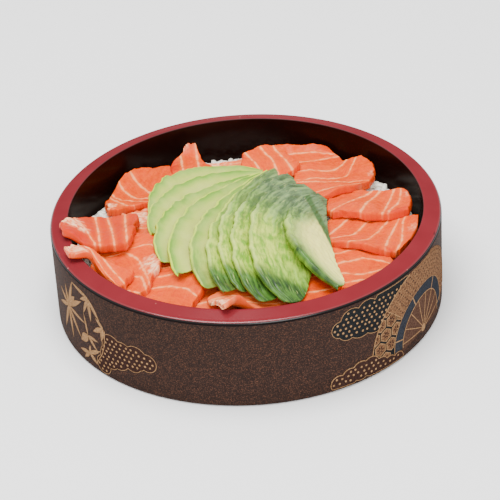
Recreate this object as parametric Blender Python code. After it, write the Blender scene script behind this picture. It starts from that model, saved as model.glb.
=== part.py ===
"""A chirashi bowl: a low round lacquer tub of sushi rice, topped with salmon and avocado.

The tub is a turned solid. A mound of rice with grains on it fills it. Slices of raw salmon
lie over each other on the rice, a few of them over the rim, and half an avocado lies on
them as a fan of leaning slices. Every slice is laid on what is already in the tub.

Sizes are in millimetres, +Z up, and the meshes are scaled to metres. The origin is the
middle of the foot, on the surface that the tub stands on, and -Y is the front.
"""
import math
from dataclasses import dataclass

import bmesh
import bpy
import numpy as np
from mathutils import Euler, Vector

MM = 0.001

# Tub
RIM_RADIUS = 95.0
FOOT_RADIUS = 94.0
MOUTH_RADIUS = 86.2
FLOOR_RADIUS = 84.4
RIM_OUTER_HEIGHT = 48.2
RIM_INNER_HEIGHT = 50.4
RIM_ROUND = 1.8
LIP_ROUND = 0.7
FLOOR_HEIGHT = 5.0
FLOOR_FILLET = 4.0
FOOT_ROUND = 1.4
FOOT_WIDTH = 8.0
FOOT_RECESS = 1.5
TURN_STEPS = 72

# Rice mound: its height at the wall leans to the front and right, and it swells inwards
RICE_RADIUS = 83.6
RICE_WALL_HEIGHT = 32.0
RICE_LEAN = (0.5, -5.0)
RICE_SWELL = 12.0
RICE_BUMP = 0.5
RICE_WAVES = (5.1, 6.3, 8.7)
RICE_RINGS = 9
RICE_SPOKES = 40
GRAIN_LENGTH = 6.4
GRAIN_WIDTH = 2.9
GRAIN_RISE = 0.2
GRAIN_TIP = 0.3
GRAIN_SPOTS = 1300
GRAIN_COUNT = 60
GRAIN_CLEARANCE = 0.6

# Laying one thing on another
GAP = 0.3
CELL = 0.5
LAY_ROUNDS = 40
EVENING_ROUNDS = 28
EVENING = 0.6
WALL_REACH = 83.9
WALL_CLEAR = 84.9
RIM_REACH = 92.5
WALL_SOFTNESS = 2.5

# Salmon
SALMON_THICKNESS = 4.2
SALMON_EDGE = 0.55
SALMON_GRID = (9, 6)
CORNER = 0.24
BRIDGING = 9
RIM_BRIDGING = 20
EASING = 2
END_SLOPE = 0.25
SALMON_UNDERCUT = 0.3
SALMON_WAVE = 0.05
CURL_START = -0.5
TIP_START = 0.3
TIP_END = 0.8

# Avocado
FAN_GRID = (13, 5)
FAN_BACK_HEIGHT = 48.0
FAN_TIP_HEIGHT = 45.0
FAN_BLUNT = 0.015
FAN_INNER = 0.55
FAN_ENDS = 0.3

# Colours as linear red, green, blue, then roughness
LACQUER = ((0.045, 0.017, 0.013), 0.3)
RICE_WHITE = ((0.86, 0.84, 0.76), 0.45)
SALMON_ORANGE = ((0.87, 0.19, 0.06), 0.32)
AVOCADO_GREEN = ((0.42, 0.50, 0.17), 0.42)


@dataclass
class Slice:
    """One salmon slice as it lies: its middle, the way its outer end points, its size,
    the height of its outer end's underside, how it narrows, slants, bows and curls, its
    thickness, and whether its tip lies over the rim."""
    at: tuple
    heading: float
    length: float
    width: float
    end_height: float
    taper: float = 0.1
    slant: float = 0.0
    bow: float = 0.0
    curl: float = 0.0
    thickness: float = SALMON_THICKNESS
    over_rim: bool = False


# From the lowest to the highest
SALMON = {
    "back_strip": Slice((-10, 58), 180, 44, 20, 36),
    "front_inner": Slice((-18, -60), 285, 38, 30, 41),
    "left_inner": Slice((-48, -4), 268, 46, 30, 38),
    "front_rim": Slice((0, -74), 194, 42, 26, 42, taper=0.15, over_rim=True),
    "front_right": Slice((33, -64), 288, 42, 36, 42),
    "front_left": Slice((-36, -58), 254, 42, 33, 41, slant=0.2),
    "back_low": Slice((33, 64), 97, 28, 40, 38, curl=7.0),
    "back_curl": Slice((-27, 59), 98, 38, 26, 38, taper=0.4, curl=13.0, thickness=3.4),
    "left_back": Slice((-51, 40), 84, 46, 36, 38, slant=0.15),
    "right_front": Slice((54, -52), 286, 46, 38, 42),
    "right": Slice((61, -17), 350, 50, 46, 43, slant=0.25),
    "right_back": Slice((61, 9), 8, 45, 33, 43, slant=0.2),
    "back_right": Slice((46, 37), 22, 46, 40, 41, slant=0.3, bow=0.08),
    "back": Slice((12, 54), 104, 38, 30, 41, slant=-0.2),
    "left_low": Slice((-60, -35), 251, 52, 42, 41),
    "left_front": Slice((-76, -43), 138, 42, 29, 45, taper=0.45, over_rim=True),
    "left": Slice((-72, -8), 171, 40, 42, 45, taper=0.65, over_rim=True),
}


@dataclass
class FanSlice:
    """One avocado slice: where its back end and its tip are, how far its peel side bulges
    to the left of the line between them, how far the other side goes to the right, its
    lean in degrees, its thickness along the peel, how near the tip it is fullest and how
    gently its ends come in, of which a small one makes them square."""
    back: tuple
    tip: tuple
    bulge: float
    depth: float
    lean: float
    thickness: float = 2.8
    fullest: float = 1.3
    roundness: float = 0.6


# From the left, which is the lowest, to the right
FAN = [
    FanSlice((10, 43), (-45, 1), 24.5, 8, 10, 2.6, 1.15),
    FanSlice((9, 39), (-45, -19), 21, 10, 12, 2.6, 1.15),
    FanSlice((10, 36), (-41, -41), 19, 12, 14),
    FanSlice((10, 34), (-33, -57), 18.5, 13, 16, fullest=1.35),
    FanSlice((11, 32), (-21, -68), 17, 13, 19, fullest=1.4),
    FanSlice((12, 31), (-12, -74), 16.5, 13, 22, fullest=1.4),
    FanSlice((16, 31), (-4, -74), 19, 12, 25),
    FanSlice((24, 29), (6, -79), 23, 11, 27, roundness=0.5),
    FanSlice((34, 20), (19, -79), 28, 8, 29, 3.0, 1.2, 0.4),
    FanSlice((41, 6), (46, -67), 30, -6, 30, 4.0, 1.2, 0.4),
]


def clear_scene():
    """Remove every object that the file opened with."""
    for obj in list(bpy.data.objects):
        bpy.data.objects.remove(obj, do_unlink=True)


def make_material(name, colour, roughness):
    """A Principled surface of one colour."""
    material = bpy.data.materials.new(name)
    material.use_nodes = True
    shader = material.node_tree.nodes["Principled BSDF"]
    shader.inputs["Base Color"].default_value = (*colour, 1.0)
    shader.inputs["Roughness"].default_value = roughness
    shader.inputs["Metallic"].default_value = 0.0
    return material


def add_object(name, points, faces, material):
    """Make one closed mesh object in metres from points in millimetres."""
    mesh = bpy.data.meshes.new(name)
    mesh.from_pydata((np.asarray(points) * MM).tolist(), [], [list(face) for face in faces])
    mesh.materials.append(material)
    mesh.shade_smooth()
    mesh.set_sharp_from_angle(angle=math.radians(40))
    obj = bpy.data.objects.new(name, mesh)
    bpy.context.scene.collection.objects.link(obj)
    return obj


def quarter_round(centre, radius, start, steps=3):
    """Points (r, z) along a quarter circle that turns anticlockwise from start degrees."""
    angles = np.radians(np.linspace(start, start + 90, steps + 1))
    return [(centre[0] + radius * math.cos(a), centre[1] + radius * math.sin(a)) for a in angles]


def tub_profile():
    """The tub's outline (r, z), from the middle of its underside out, up and back inside."""
    foot_inner = FOOT_RADIUS - FOOT_WIDTH
    rim_top = RIM_OUTER_HEIGHT - RIM_ROUND
    underside = [(foot_inner - FOOT_RECESS, FOOT_RECESS), (foot_inner, 0.0)]
    foot = quarter_round((FOOT_RADIUS - FOOT_ROUND, FOOT_ROUND), FOOT_ROUND, 270)
    rim = quarter_round((RIM_RADIUS - RIM_ROUND, rim_top), RIM_ROUND, 0)
    lip = quarter_round((MOUTH_RADIUS + LIP_ROUND, RIM_INNER_HEIGHT - LIP_ROUND), LIP_ROUND, 90, 2)
    fillet = quarter_round((FLOOR_RADIUS - FLOOR_FILLET, FLOOR_HEIGHT + FLOOR_FILLET),
                           FLOOR_FILLET, 270)
    return underside + foot + rim + lip + fillet[::-1]


def turn(profile, bottom, top, steps):
    """Turn an outline about Z; its ends close on the axis at the heights bottom and top."""
    count = len(profile)
    angles = np.arange(steps) * 2 * math.pi / steps
    radius, height = np.array(profile).T
    x = np.outer(np.cos(angles), radius)
    y = np.outer(np.sin(angles), radius)
    z = np.broadcast_to(height, x.shape)
    points = np.stack([x, y, z], axis=-1).reshape(-1, 3)
    points = np.vstack([points, [0, 0, bottom], [0, 0, top]])
    low, high = len(points) - 2, len(points) - 1
    faces = []
    for i in range(steps):
        here, there = i * count, (i + 1) % steps * count
        faces.append((low, there, here))
        faces.append((high, here + count - 1, there + count - 1))
        for j in range(count - 1):
            faces.append((here + j, there + j, there + j + 1, here + j + 1))
    return points, faces


def rice_height(x, y):
    """Height of the bare mound: its height at the wall, plus a swell that is highest in the
    middle, plus low bumps, which are the product of two crossed waves and a slanting one."""
    wall = RICE_WALL_HEIGHT + (RICE_LEAN[0] * x + RICE_LEAN[1] * y) / RICE_RADIUS
    swell = RICE_SWELL * (1 - (x * x + y * y) / RICE_RADIUS ** 2)
    short, middle, long = RICE_WAVES
    bumps = RICE_BUMP * (np.sin(x / short) * np.cos(y / middle) + np.sin((x + y) / long))
    return wall + swell + bumps


def rice_core():
    """The mound as rings of points: a flat bottom just above the tub's floor, an outer side
    just inside the wall, and the bumpy top."""
    angles = np.arange(RICE_SPOKES) * 2 * math.pi / RICE_SPOKES
    floor_edge = FLOOR_RADIUS - FLOOR_FILLET - GAP
    bottom = FLOOR_HEIGHT + GAP
    rings = [(floor_edge, bottom), (RICE_RADIUS, bottom + FLOOR_FILLET)]
    radii = RICE_RADIUS * np.linspace(1.0, 0.0, RICE_RINGS + 1)[:-1]
    points = []
    for radius, height in rings:
        points += [(radius * math.cos(a), radius * math.sin(a), height) for a in angles]
    for radius in radii:
        x, y = radius * np.cos(angles), radius * np.sin(angles)
        points += list(zip(x, y, rice_height(x, y)))
    points += [(0, 0, bottom), (0, 0, float(rice_height(0.0, 0.0)))]
    low, high = len(points) - 2, len(points) - 1
    count = len(rings) + len(radii)
    faces = []
    for i in range(RICE_SPOKES):
        j = (i + 1) % RICE_SPOKES
        faces.append((low, j, i))
        faces.append((high, (count - 1) * RICE_SPOKES + i, (count - 1) * RICE_SPOKES + j))
        for k in range(count - 1):
            a, b = k * RICE_SPOKES, (k + 1) * RICE_SPOKES
            faces += [(a + i, a + j, b + j), (a + i, b + j, b + i)]
    return np.array(points), faces


class Heap:
    """The height of the highest thing laid so far, on a grid of cells seen from above."""

    def __init__(self):
        self.axis = np.arange(-RIM_RADIUS - 6, RIM_RADIUS + 6 + CELL, CELL)
        x, y = np.meshgrid(self.axis, self.axis, indexing="ij")
        radius = np.hypot(x, y)
        inwards = (RIM_RADIUS - radius) / (RIM_RADIUS - MOUTH_RADIUS)
        band = RIM_OUTER_HEIGHT + (RIM_INNER_HEIGHT - RIM_OUTER_HEIGHT) * np.clip(inwards, 0, 1)
        self.height = np.where(radius < WALL_CLEAR, rice_height(x, y), band)
        self.height[radius > RIM_RADIUS + CELL] = 0.0
        self.ceiling = np.full_like(self.height, np.inf)

    def cells_under(self, corners):
        """The cells that a triangle covers, or reaches to within a cell, and its height in
        each, which is kept within the triangle's own."""
        low = np.floor((corners[:, :2].min(axis=0) - self.axis[0]) / CELL).astype(int) - 1
        high = np.ceil((corners[:, :2].max(axis=0) - self.axis[0]) / CELL).astype(int) + 2
        low, high = np.maximum(low, 0), np.minimum(high, len(self.axis))
        i, j = np.meshgrid(np.arange(low[0], high[0]), np.arange(low[1], high[1]), indexing="ij")
        x, y = self.axis[i] - corners[0, 0], self.axis[j] - corners[0, 1]
        one, two = corners[1] - corners[0], corners[2] - corners[0]
        area = one[0] * two[1] - one[1] * two[0]
        if abs(area) < 1e-6:
            return i[:0], j[:0], x[:0]
        first = (x * two[1] - y * two[0]) / area
        second = (y * one[0] - x * one[1]) / area
        margin = CELL * 0.75 * max(np.hypot(*one[:2]), np.hypot(*two[:2])) / abs(area)
        inside = (first > -margin) & (second > -margin) & (first + second < 1 + margin)
        height = corners[0, 2] + first * one[2] + second * two[2]
        height = np.clip(height, corners[:, 2].min(), corners[:, 2].max())
        return i[inside], j[inside], height[inside]

    def at(self, x, y):
        """The height at the cells nearest to the given places."""
        i = np.clip(np.rint((x - self.axis[0]) / CELL).astype(int), 0, len(self.axis) - 1)
        j = np.clip(np.rint((y - self.axis[0]) / CELL).astype(int), 0, len(self.axis) - 1)
        return self.height[i, j]

    def add(self, points, triangles):
        """Raise the heap to the top of a piece that has been laid on it, and keep the
        piece's underside as a ceiling over what lies below."""
        for triangle in triangles:
            i, j, height = self.cells_under(points[list(triangle)])
            np.maximum.at(self.height, (i, j), height)
            np.minimum.at(self.ceiling, (i, j), height)

    def need(self, points, triangles):
        """How far each point has to rise for its triangles to clear the heap by the gap."""
        rise = np.full(len(points), -np.inf)
        for triangle in triangles:
            corners = list(triangle)
            i, j, height = self.cells_under(points[corners])
            if len(height):
                worst = float((self.height[i, j] + GAP - height).max())
                rise[corners] = np.maximum(rise[corners], worst)
        return rise


def grid_triangles(rows, columns, first, turned):
    """The triangles of a grid of points; turned ones face the other way."""
    triangles = []
    for i in range(rows - 1):
        for j in range(columns - 1):
            a = first + i * columns + j
            b, c, d = a + columns, a + columns + 1, a + 1
            pair = [(a, b, c), (a, c, d)]
            triangles += [t[::-1] for t in pair] if turned else pair
    return triangles


def plate_triangles(rows, columns):
    """The closed skin of a plate: a lower grid, an upper grid, and a strip round the edge."""
    size = rows * columns
    triangles = grid_triangles(rows, columns, 0, True) + grid_triangles(rows, columns, size, False)
    border = [i * columns for i in range(rows)]
    border += [(rows - 1) * columns + j for j in range(1, columns)]
    border += [i * columns + columns - 1 for i in range(rows - 2, -1, -1)]
    border += [j for j in range(columns - 2, 0, -1)]
    for a, b in zip(border, border[1:] + border[:1]):
        triangles += [(a, b, b + size), (a, b + size, a + size)]
    return triangles


def spread(rise):
    """The mean of each point's rise and its neighbours' in a grid."""
    padded = np.pad(rise, 1, mode="edge")
    return (padded[:-2, 1:-1] + padded[2:, 1:-1] + padded[1:-1, :-2] + padded[1:-1, 2:]) / 4


def raised(lower, upper, rise):
    """The points of a plate, lower grid first, with each raised by its place's rise."""
    lift = rise[..., None] * np.array([0.0, 0.0, 1.0])
    return np.vstack([(lower + lift).reshape(-1, 3), (upper + lift).reshape(-1, 3)])


def lay(heap, lower, upper):
    """Lay a plate, given as two grids of points, on the heap. Where it would sink in, it is
    raised, and the rise is evened out, so that it bends over what is under it. Then the
    whole plate comes down until it touches. Returns its points and triangles."""
    rows, columns = lower.shape[:2]
    triangles = plate_triangles(rows, columns)
    rise = np.zeros((rows, columns))
    for step in range(LAY_ROUNDS):
        need = heap.need(raised(lower, upper, rise), triangles)
        need = need.reshape(2, rows, columns).max(axis=0)
        if step == 0:
            rise += need.min()
            continue
        if need.max() < 1e-4 and step > EVENING_ROUNDS:
            break
        rise += np.maximum(need, 0)
        if step <= EVENING_ROUNDS:
            rise = (1 - EVENING) * rise + EVENING * spread(rise)
    drop = min(float(heap.need(raised(lower, upper, rise), triangles).max()), 0.0)
    return raised(lower, upper, rise + drop), triangles


def kept_within(x, y, reach):
    """Places pressed inwards so that none is further from the middle than reach: the radius
    becomes a smooth minimum of itself and the reach."""
    radius = np.maximum(np.hypot(x, y), 1e-6)
    pressed = reach - WALL_SOFTNESS * np.logaddexp(0, (reach - radius) / WALL_SOFTNESS)
    factor = np.where(radius > reach - 8 * WALL_SOFTNESS, pressed / radius, 1.0)
    return x * factor, y * factor


def salmon_grids(piece):
    """A salmon slice before it is laid. Its outline is a square with pressed-in corners,
    stretched to the slice's length and width, narrowed towards its outer end, slanted and
    bowed. It is thinner round its edge, and its outer end curls up as a square law."""
    rows, columns = SALMON_GRID
    s, t = np.meshgrid(np.linspace(-1, 1, rows), np.linspace(-1, 1, columns), indexing="ij")
    along = 0.5 * piece.length * s * np.sqrt(1 - CORNER * t * t)
    narrow = 1 - piece.taper * 0.5 * (1 + s)
    across = 0.5 * piece.width * t * np.sqrt(1 - CORNER * s * s) * narrow
    across *= 1 + SALMON_WAVE * np.sin(math.pi * s + piece.heading)
    along = along + piece.slant * across
    across = across + piece.bow * along * along / piece.length
    angle = math.radians(piece.heading)
    x = piece.at[0] + along * math.cos(angle) - across * math.sin(angle)
    y = piece.at[1] + along * math.sin(angle) + across * math.cos(angle)
    tip = np.clip((s - TIP_START) / (TIP_END - TIP_START), 0, 1)
    reach = WALL_REACH + (RIM_REACH - WALL_REACH) * tip * tip * (3 - 2 * tip) * piece.over_rim
    x, y = kept_within(x, y, reach)
    curl = piece.curl * (np.clip(s - CURL_START, 0, None) / (1 - CURL_START)) ** 2
    edge = np.maximum(np.abs(s), np.abs(t)) > 0.999
    thickness = piece.thickness * np.where(edge, SALMON_EDGE, 1.0)
    return x, y, curl, thickness


def lay_salmon(heap, piece):
    """Drape a salmon slice: its underside follows the heap under it, evened out, and its
    outer part is held up to end_height, from which it falls inwards at END_SLOPE."""
    x, y, curl, thickness = salmon_grids(piece)
    rows, columns = SALMON_GRID
    rest = heap.at(x, y) + GAP
    base = rest.copy()
    for _ in range(RIM_BRIDGING if piece.over_rim else BRIDGING):
        base = np.maximum(rest, spread(base))
    s = np.linspace(-1, 1, rows)[:, None]
    held = piece.end_height - END_SLOPE * 0.5 * piece.length * (1 - s)
    base = np.maximum(base, held) + curl
    for _ in range(EASING):
        base = np.maximum(rest + curl, 0.5 * (base + spread(base)))
    lower = np.stack([x, y, base], axis=-1)
    upper = lower + np.stack([np.zeros_like(x), np.zeros_like(x), thickness], axis=-1)
    edge = thickness < piece.thickness * 0.99
    lower[..., 2] += np.where(edge, SALMON_UNDERCUT, 0.0)
    return lay(heap, lower, upper)


def fan_grids(piece):
    """An avocado slice before it is laid: a plate between a line from its back end to its
    tip, pushed depth to the right, and the peel side, which bulges to the left. Both follow
    a power of a sine, fullest past the middle. The plate leans up to the left, and it is
    thickest along the peel."""
    rows, columns = FAN_GRID
    u, v = np.meshgrid(np.linspace(0, 1, rows), np.linspace(0, 1, columns), indexing="ij")
    back = np.array([*piece.back, FAN_BACK_HEIGHT])
    tip = np.array([*piece.tip, FAN_TIP_HEIGHT])
    ahead = tip - back
    ahead[2] = 0
    ahead /= np.linalg.norm(ahead)
    left = np.array([ahead[1], -ahead[0], 0.0])
    lean = math.radians(piece.lean)
    rising = math.cos(lean) * left + math.sin(lean) * np.array([0, 0, 1.0])
    outward = -math.sin(lean) * left + math.cos(lean) * np.array([0, 0, 1.0])
    inside = np.clip(u, FAN_BLUNT, 1 - FAN_BLUNT)
    full = np.sin(math.pi * inside ** piece.fullest) ** piece.roundness
    across = full * (v * (piece.bulge + piece.depth) - piece.depth)
    lower = back + u[..., None] * (tip - back) + across[..., None] * rising
    wedge = FAN_INNER + (1 - FAN_INNER) * v
    thickness = piece.thickness * wedge * (FAN_ENDS + (1 - FAN_ENDS) * full)
    upper = lower + thickness[..., None] * outward
    return lower, upper


def add_plate(name, points, triangles, material):
    """Add a laid plate as an object, its faces pointing out."""
    obj = add_object(name, points, triangles, material)
    shell = bmesh.new()
    shell.from_mesh(obj.data)
    bmesh.ops.recalc_face_normals(shell, faces=shell.faces)
    shell.to_mesh(obj.data)
    shell.free()
    return obj


def grain_room(heap, x, y, turned):
    """The lowest thing over a grain that lies at a place: infinite under the open sky, and
    nothing where the grain would reach past the mound's edge. The ceiling is looked up along
    the grain's length and to both sides of it."""
    along = np.linspace(-1, 1, 7)[:, None] * (0.5 * GRAIN_LENGTH + GRAIN_CLEARANCE)
    across = np.linspace(-1, 1, 5)[None, :] * (0.5 * GRAIN_WIDTH + GRAIN_CLEARANCE)
    places_x = x + along * math.cos(turned) - across * math.sin(turned)
    places_y = y + along * math.sin(turned) + across * math.cos(turned)
    if np.hypot(places_x, places_y).max() > RICE_RADIUS:
        return 0.0
    i = np.rint((places_x - heap.axis[0]) / CELL).astype(int)
    j = np.rint((places_y - heap.axis[0]) / CELL).astype(int)
    return float(heap.ceiling[i, j].min())


def grain_places(heap):
    """Places for the grains that show: an evenly spread spiral of spots over the mound, each
    with a seeded turn and tip. The open spots come first, then some of those where a slice
    is held up clear of the grain."""
    draw = np.random.default_rng(7)
    golden = math.pi * (3 - math.sqrt(5))
    reach = GRAIN_WIDTH * (GRAIN_RISE + 0.5) + 0.5 * GRAIN_LENGTH * GRAIN_TIP + GRAIN_CLEARANCE
    shown, shaded = [], []
    for k in range(GRAIN_SPOTS):
        radius = RICE_RADIUS * math.sqrt((k + 0.5) / GRAIN_SPOTS)
        x, y = radius * math.cos(k * golden), radius * math.sin(k * golden)
        turned, tipped = draw.uniform(0, math.tau), draw.uniform(-GRAIN_TIP, GRAIN_TIP)
        room = grain_room(heap, x, y, turned)
        if room == math.inf:
            shown.append((x, y, turned, tipped))
        elif room > float(rice_height(x, y)) + reach:
            shaded.append((x, y, turned, tipped))
    spare = max(GRAIN_COUNT - len(shown), 0)
    kept = np.linspace(0, len(shaded) - 1, min(spare, len(shaded))).astype(int)
    return shown[:GRAIN_COUNT] + [shaded[n] for n in kept]


def add_rice(heap, material):
    """The mound with the grains that show joined to it."""
    points, faces = rice_core()
    core = add_object("rice", points, faces, material)
    grains = bpy.data.collections.new("rice_grains")
    bpy.context.scene.collection.children.link(grains)
    shape = bmesh.new()
    bmesh.ops.create_uvsphere(shape, u_segments=5, v_segments=4, radius=0.5)
    for vert in shape.verts:
        vert.co = Vector((vert.co.z * GRAIN_LENGTH, vert.co.y * GRAIN_WIDTH,
                          vert.co.x * GRAIN_WIDTH)) * MM
    bmesh.ops.recalc_face_normals(shape, faces=shape.faces)
    mesh = bpy.data.meshes.new("rice_grain")
    shape.to_mesh(mesh)
    shape.free()
    for x, y, turned, tipped in grain_places(heap):
        grain = bpy.data.objects.new("rice_grain", mesh)
        grain.location = Vector((x, y, float(rice_height(x, y)) + GRAIN_RISE * GRAIN_WIDTH)) * MM
        grain.rotation_euler = Euler((0.0, tipped, turned))
        grains.objects.link(grain)
    union = core.modifiers.new("Join the grains", "BOOLEAN")
    union.operation = "UNION"
    union.operand_type = "COLLECTION"
    union.collection = grains
    bpy.context.view_layer.update()
    depsgraph = bpy.context.evaluated_depsgraph_get()
    joined = bpy.data.meshes.new_from_object(core.evaluated_get(depsgraph))
    core.modifiers.clear()
    core.data = joined
    for grain in list(grains.objects):
        bpy.data.objects.remove(grain, do_unlink=True)
    bpy.data.collections.remove(grains)
    return core


def main():
    clear_scene()
    lacquer = make_material("tub lacquer", *LACQUER)
    white = make_material("cooked rice", *RICE_WHITE)
    orange = make_material("raw salmon", *SALMON_ORANGE)
    green = make_material("avocado flesh", *AVOCADO_GREEN)

    points, faces = turn(tub_profile(), FOOT_RECESS, FLOOR_HEIGHT, TURN_STEPS)
    add_plate("tub", points, faces, lacquer)

    heap = Heap()
    for name, piece in SALMON.items():
        points, triangles = lay_salmon(heap, piece)
        heap.add(points, triangles)
        add_plate(f"salmon_{name}", points, triangles, orange)
    for number, piece in enumerate(FAN, start=1):
        points, triangles = lay(heap, *fan_grids(piece))
        heap.add(points, triangles)
        add_plate(f"avocado_slice_{number:02d}", points, triangles, green)
    add_rice(heap, white)


main()
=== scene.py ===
# %% [markdown]
# # A chirashi bowl
#
# Chirashi is sushi rice in a tub with the topping scattered over it. Here the tub is a low
# round one of lacquer, the topping is raw salmon in slices, and half an avocado is fanned
# out over them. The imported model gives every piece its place. This script gives each of
# them its surface: the skin of the lacquer, the layers in the fish, the flesh of the fruit
# and the single grains of the rice.

# %% Load the frame
import math
from dataclasses import dataclass

import bpy
import numpy as np
from mathutils import Matrix, Vector
from mathutils.bvhtree import BVHTree


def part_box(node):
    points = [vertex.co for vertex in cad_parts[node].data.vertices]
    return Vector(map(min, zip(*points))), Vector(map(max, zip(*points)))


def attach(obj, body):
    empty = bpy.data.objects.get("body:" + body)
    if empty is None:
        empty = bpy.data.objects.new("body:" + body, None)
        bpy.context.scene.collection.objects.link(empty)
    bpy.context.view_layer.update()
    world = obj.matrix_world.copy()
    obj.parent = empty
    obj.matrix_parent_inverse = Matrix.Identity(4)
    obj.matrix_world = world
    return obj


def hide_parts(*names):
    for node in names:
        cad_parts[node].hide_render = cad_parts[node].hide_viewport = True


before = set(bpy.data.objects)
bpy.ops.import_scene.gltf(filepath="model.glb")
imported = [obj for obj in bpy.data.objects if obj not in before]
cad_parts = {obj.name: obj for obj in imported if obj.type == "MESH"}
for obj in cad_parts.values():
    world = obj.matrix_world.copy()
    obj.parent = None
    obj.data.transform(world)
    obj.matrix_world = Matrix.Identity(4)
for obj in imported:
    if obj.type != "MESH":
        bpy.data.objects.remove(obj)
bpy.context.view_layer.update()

MM = 0.001
print("nodes in the frame:", len(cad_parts))

# %% [markdown]
# ## Meshes from arrays
#
# Every new surface below is a grid of points that a formula works out at once. A thin thing,
# such as a slice of fish, is two such grids, one for its underside and one for its top,
# joined by a strip round the edge. The helpers here turn the arrays into mesh objects and
# keep the faces pointing outwards, which the sign of the enclosed volume tells.

# %% Grids and closed skins
def grid_quads(rows, columns, first=0):
    """Corner numbers of a grid's quads, whose points are numbered row by row."""
    at = first + np.arange(rows * columns).reshape(rows, columns)
    corners = [at[:-1, :-1], at[1:, :-1], at[1:, 1:], at[:-1, 1:]]
    return np.stack(corners, axis=-1).reshape(-1, 4)


def closed_plate(lower, upper):
    """The closed skin between two grids of points: both grids, and a strip of quads along
    the ring of their edge points. Returns points and quads."""
    rows, columns = lower.shape[:2]
    size = rows * columns
    at = np.arange(size).reshape(rows, columns)
    ring = np.concatenate([at[:-1, 0], at[-1, :-1], at[:0:-1, -1], at[0, :0:-1]])
    after = np.roll(ring, -1)
    strip = np.stack([ring, after, after + size, ring + size], axis=-1)
    faces = np.vstack([grid_quads(rows, columns)[:, ::-1], grid_quads(rows, columns, size), strip])
    return np.vstack([lower.reshape(-1, 3), upper.reshape(-1, 3)]), faces


def spun_skin(grid, ends):
    """The closed skin of a grid that goes round an axis: a row of points for each step, and
    two end points, which close the first and the last column. Returns points and triangles."""
    steps, count = grid.shape[:2]
    at = np.arange(steps * count).reshape(steps, count)
    after = np.roll(at, -1, axis=0)
    sides = np.stack([at[:, :-1], after[:, :-1], after[:, 1:], at[:, 1:]], axis=-1).reshape(-1, 4)
    first, last = np.full(steps, steps * count), np.full(steps, steps * count + 1)
    caps = [np.column_stack([first, after[:, 0], at[:, 0]]),
            np.column_stack([last, at[:, -1], after[:, -1]])]
    triangles = np.vstack([sides[:, [0, 1, 2]], sides[:, [0, 2, 3]], *caps])
    return np.vstack([grid.reshape(-1, 3), ends]), triangles


def facing_out(points, faces):
    """The faces, turned over if the volume that they enclose comes out negative. The volume
    is a sixth of the sum of each triangle's triple product."""
    a, b, c = points[faces[:, 0]], points[faces[:, 1]], points[faces[:, 2]]
    volume = np.einsum("ij,ij->", a, np.cross(b, c))
    if faces.shape[1] == 4:
        volume += np.einsum("ij,ij->", a, np.cross(c, points[faces[:, 3]]))
    return faces if volume > 0 else faces[:, ::-1]


def joined(parts):
    """One set of points and faces from several, with the corner numbers moved on."""
    starts = np.cumsum([0] + [len(points) for points, _ in parts[:-1]])
    points = np.vstack([points for points, _ in parts])
    faces = np.vstack([faces + start for (_, faces), start in zip(parts, starts)])
    return points, faces


print("quads of a grid of 4 by 3 points:", len(grid_quads(4, 3)))

# %% Mesh objects
def put_mesh(name, points, faces, look, values=None, uv=None, turn=True):
    """A smooth mesh object in metres from points in millimetres. Values are named numbers,
    one for each point, and uv is a pair of numbers for each point. Turn lets it turn all
    the faces over if the volume that they enclose comes out negative."""
    mesh = bpy.data.meshes.new(name)
    faces = facing_out(points, np.asarray(faces)) if turn else np.asarray(faces)
    mesh.vertices.add(len(points))
    mesh.vertices.foreach_set("co", (points * MM).astype(np.float32).ravel())
    mesh.loops.add(faces.size)
    mesh.loops.foreach_set("vertex_index", faces.astype(np.int32).ravel())
    mesh.polygons.add(len(faces))
    starts = np.arange(0, faces.size, faces.shape[1], dtype=np.int32)
    mesh.polygons.foreach_set("loop_start", starts)
    mesh.update(calc_edges=True)
    for key, numbers in (values or {}).items():
        attribute = mesh.attributes.new(key, "FLOAT", "POINT")
        attribute.data.foreach_set("value", np.asarray(numbers, np.float32).ravel())
    if uv is not None:
        layer = mesh.uv_layers.new(name="surface")
        layer.data.foreach_set("uv", uv.reshape(-1, 2)[faces.ravel()].astype(np.float32).ravel())
    mesh.materials.append(look.material)
    mesh.shade_smooth()
    piece = bpy.data.objects.new(name, mesh)
    bpy.context.scene.collection.objects.link(piece)
    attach(piece, "root")
    return piece


def put_plate(name, plate, look):
    """A plate as a piece. The plate is its underside, its top, the values of the top's points
    and their uv. The underside has the same ones, except that its value side is 1, since all
    of it has the colour of the plate's sides."""
    lower, upper, values, uv = plate
    below = {**values, "side": np.ones_like(values["side"])}
    both = {key: np.concatenate([below[key].ravel(), values[key].ravel()]) for key in values}
    points, faces = closed_plate(lower, upper)
    uv = uv.reshape(-1, 2)
    piece = put_mesh(name, points, faces, look, both, np.vstack([uv, uv]))
    print(name, "top at", round(float(points[:, 2].max()), 1), "mm")
    return piece


print("mesh helpers ready")

# %% Smooth numbers
def ripples(x, y, size, seed, waves=7):
    """A smooth uneven height from -1 to 1: the mean of sines that run in seeded directions,
    with wavelengths near the size, scaled up so that it fills the range."""
    draw = np.random.default_rng(seed)
    total = np.zeros(np.broadcast(x, y).shape)
    for angle, stretch, phase in draw.uniform(0, 1, (waves, 3)):
        turned = x * math.cos(angle * math.tau) + y * math.sin(angle * math.tau)
        total += np.sin(math.tau * (turned / (size * (0.7 + 0.7 * stretch)) + phase))
    return np.clip(total / math.sqrt(waves), -1, 1)


def smooth_step(low, high, x):
    """From 0 at low to 1 at high along an S-shaped cubic, and level past both."""
    t = np.clip((x - low) / (high - low), 0, 1)
    return t * t * (3 - 2 * t)


print("halfway up a smooth step:", float(smooth_step(0, 1, 0.5)))

# %% [markdown]
# ## Shader maths
#
# A material is a sum written with nodes. The class Wire wraps one socket, so that a sum of
# wires and numbers reads like any other Python sum and adds its Math nodes by itself. Look
# holds one material, and its add method makes any other node. Colours are written as a screen
# shows them, from 0 to 255.

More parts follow.
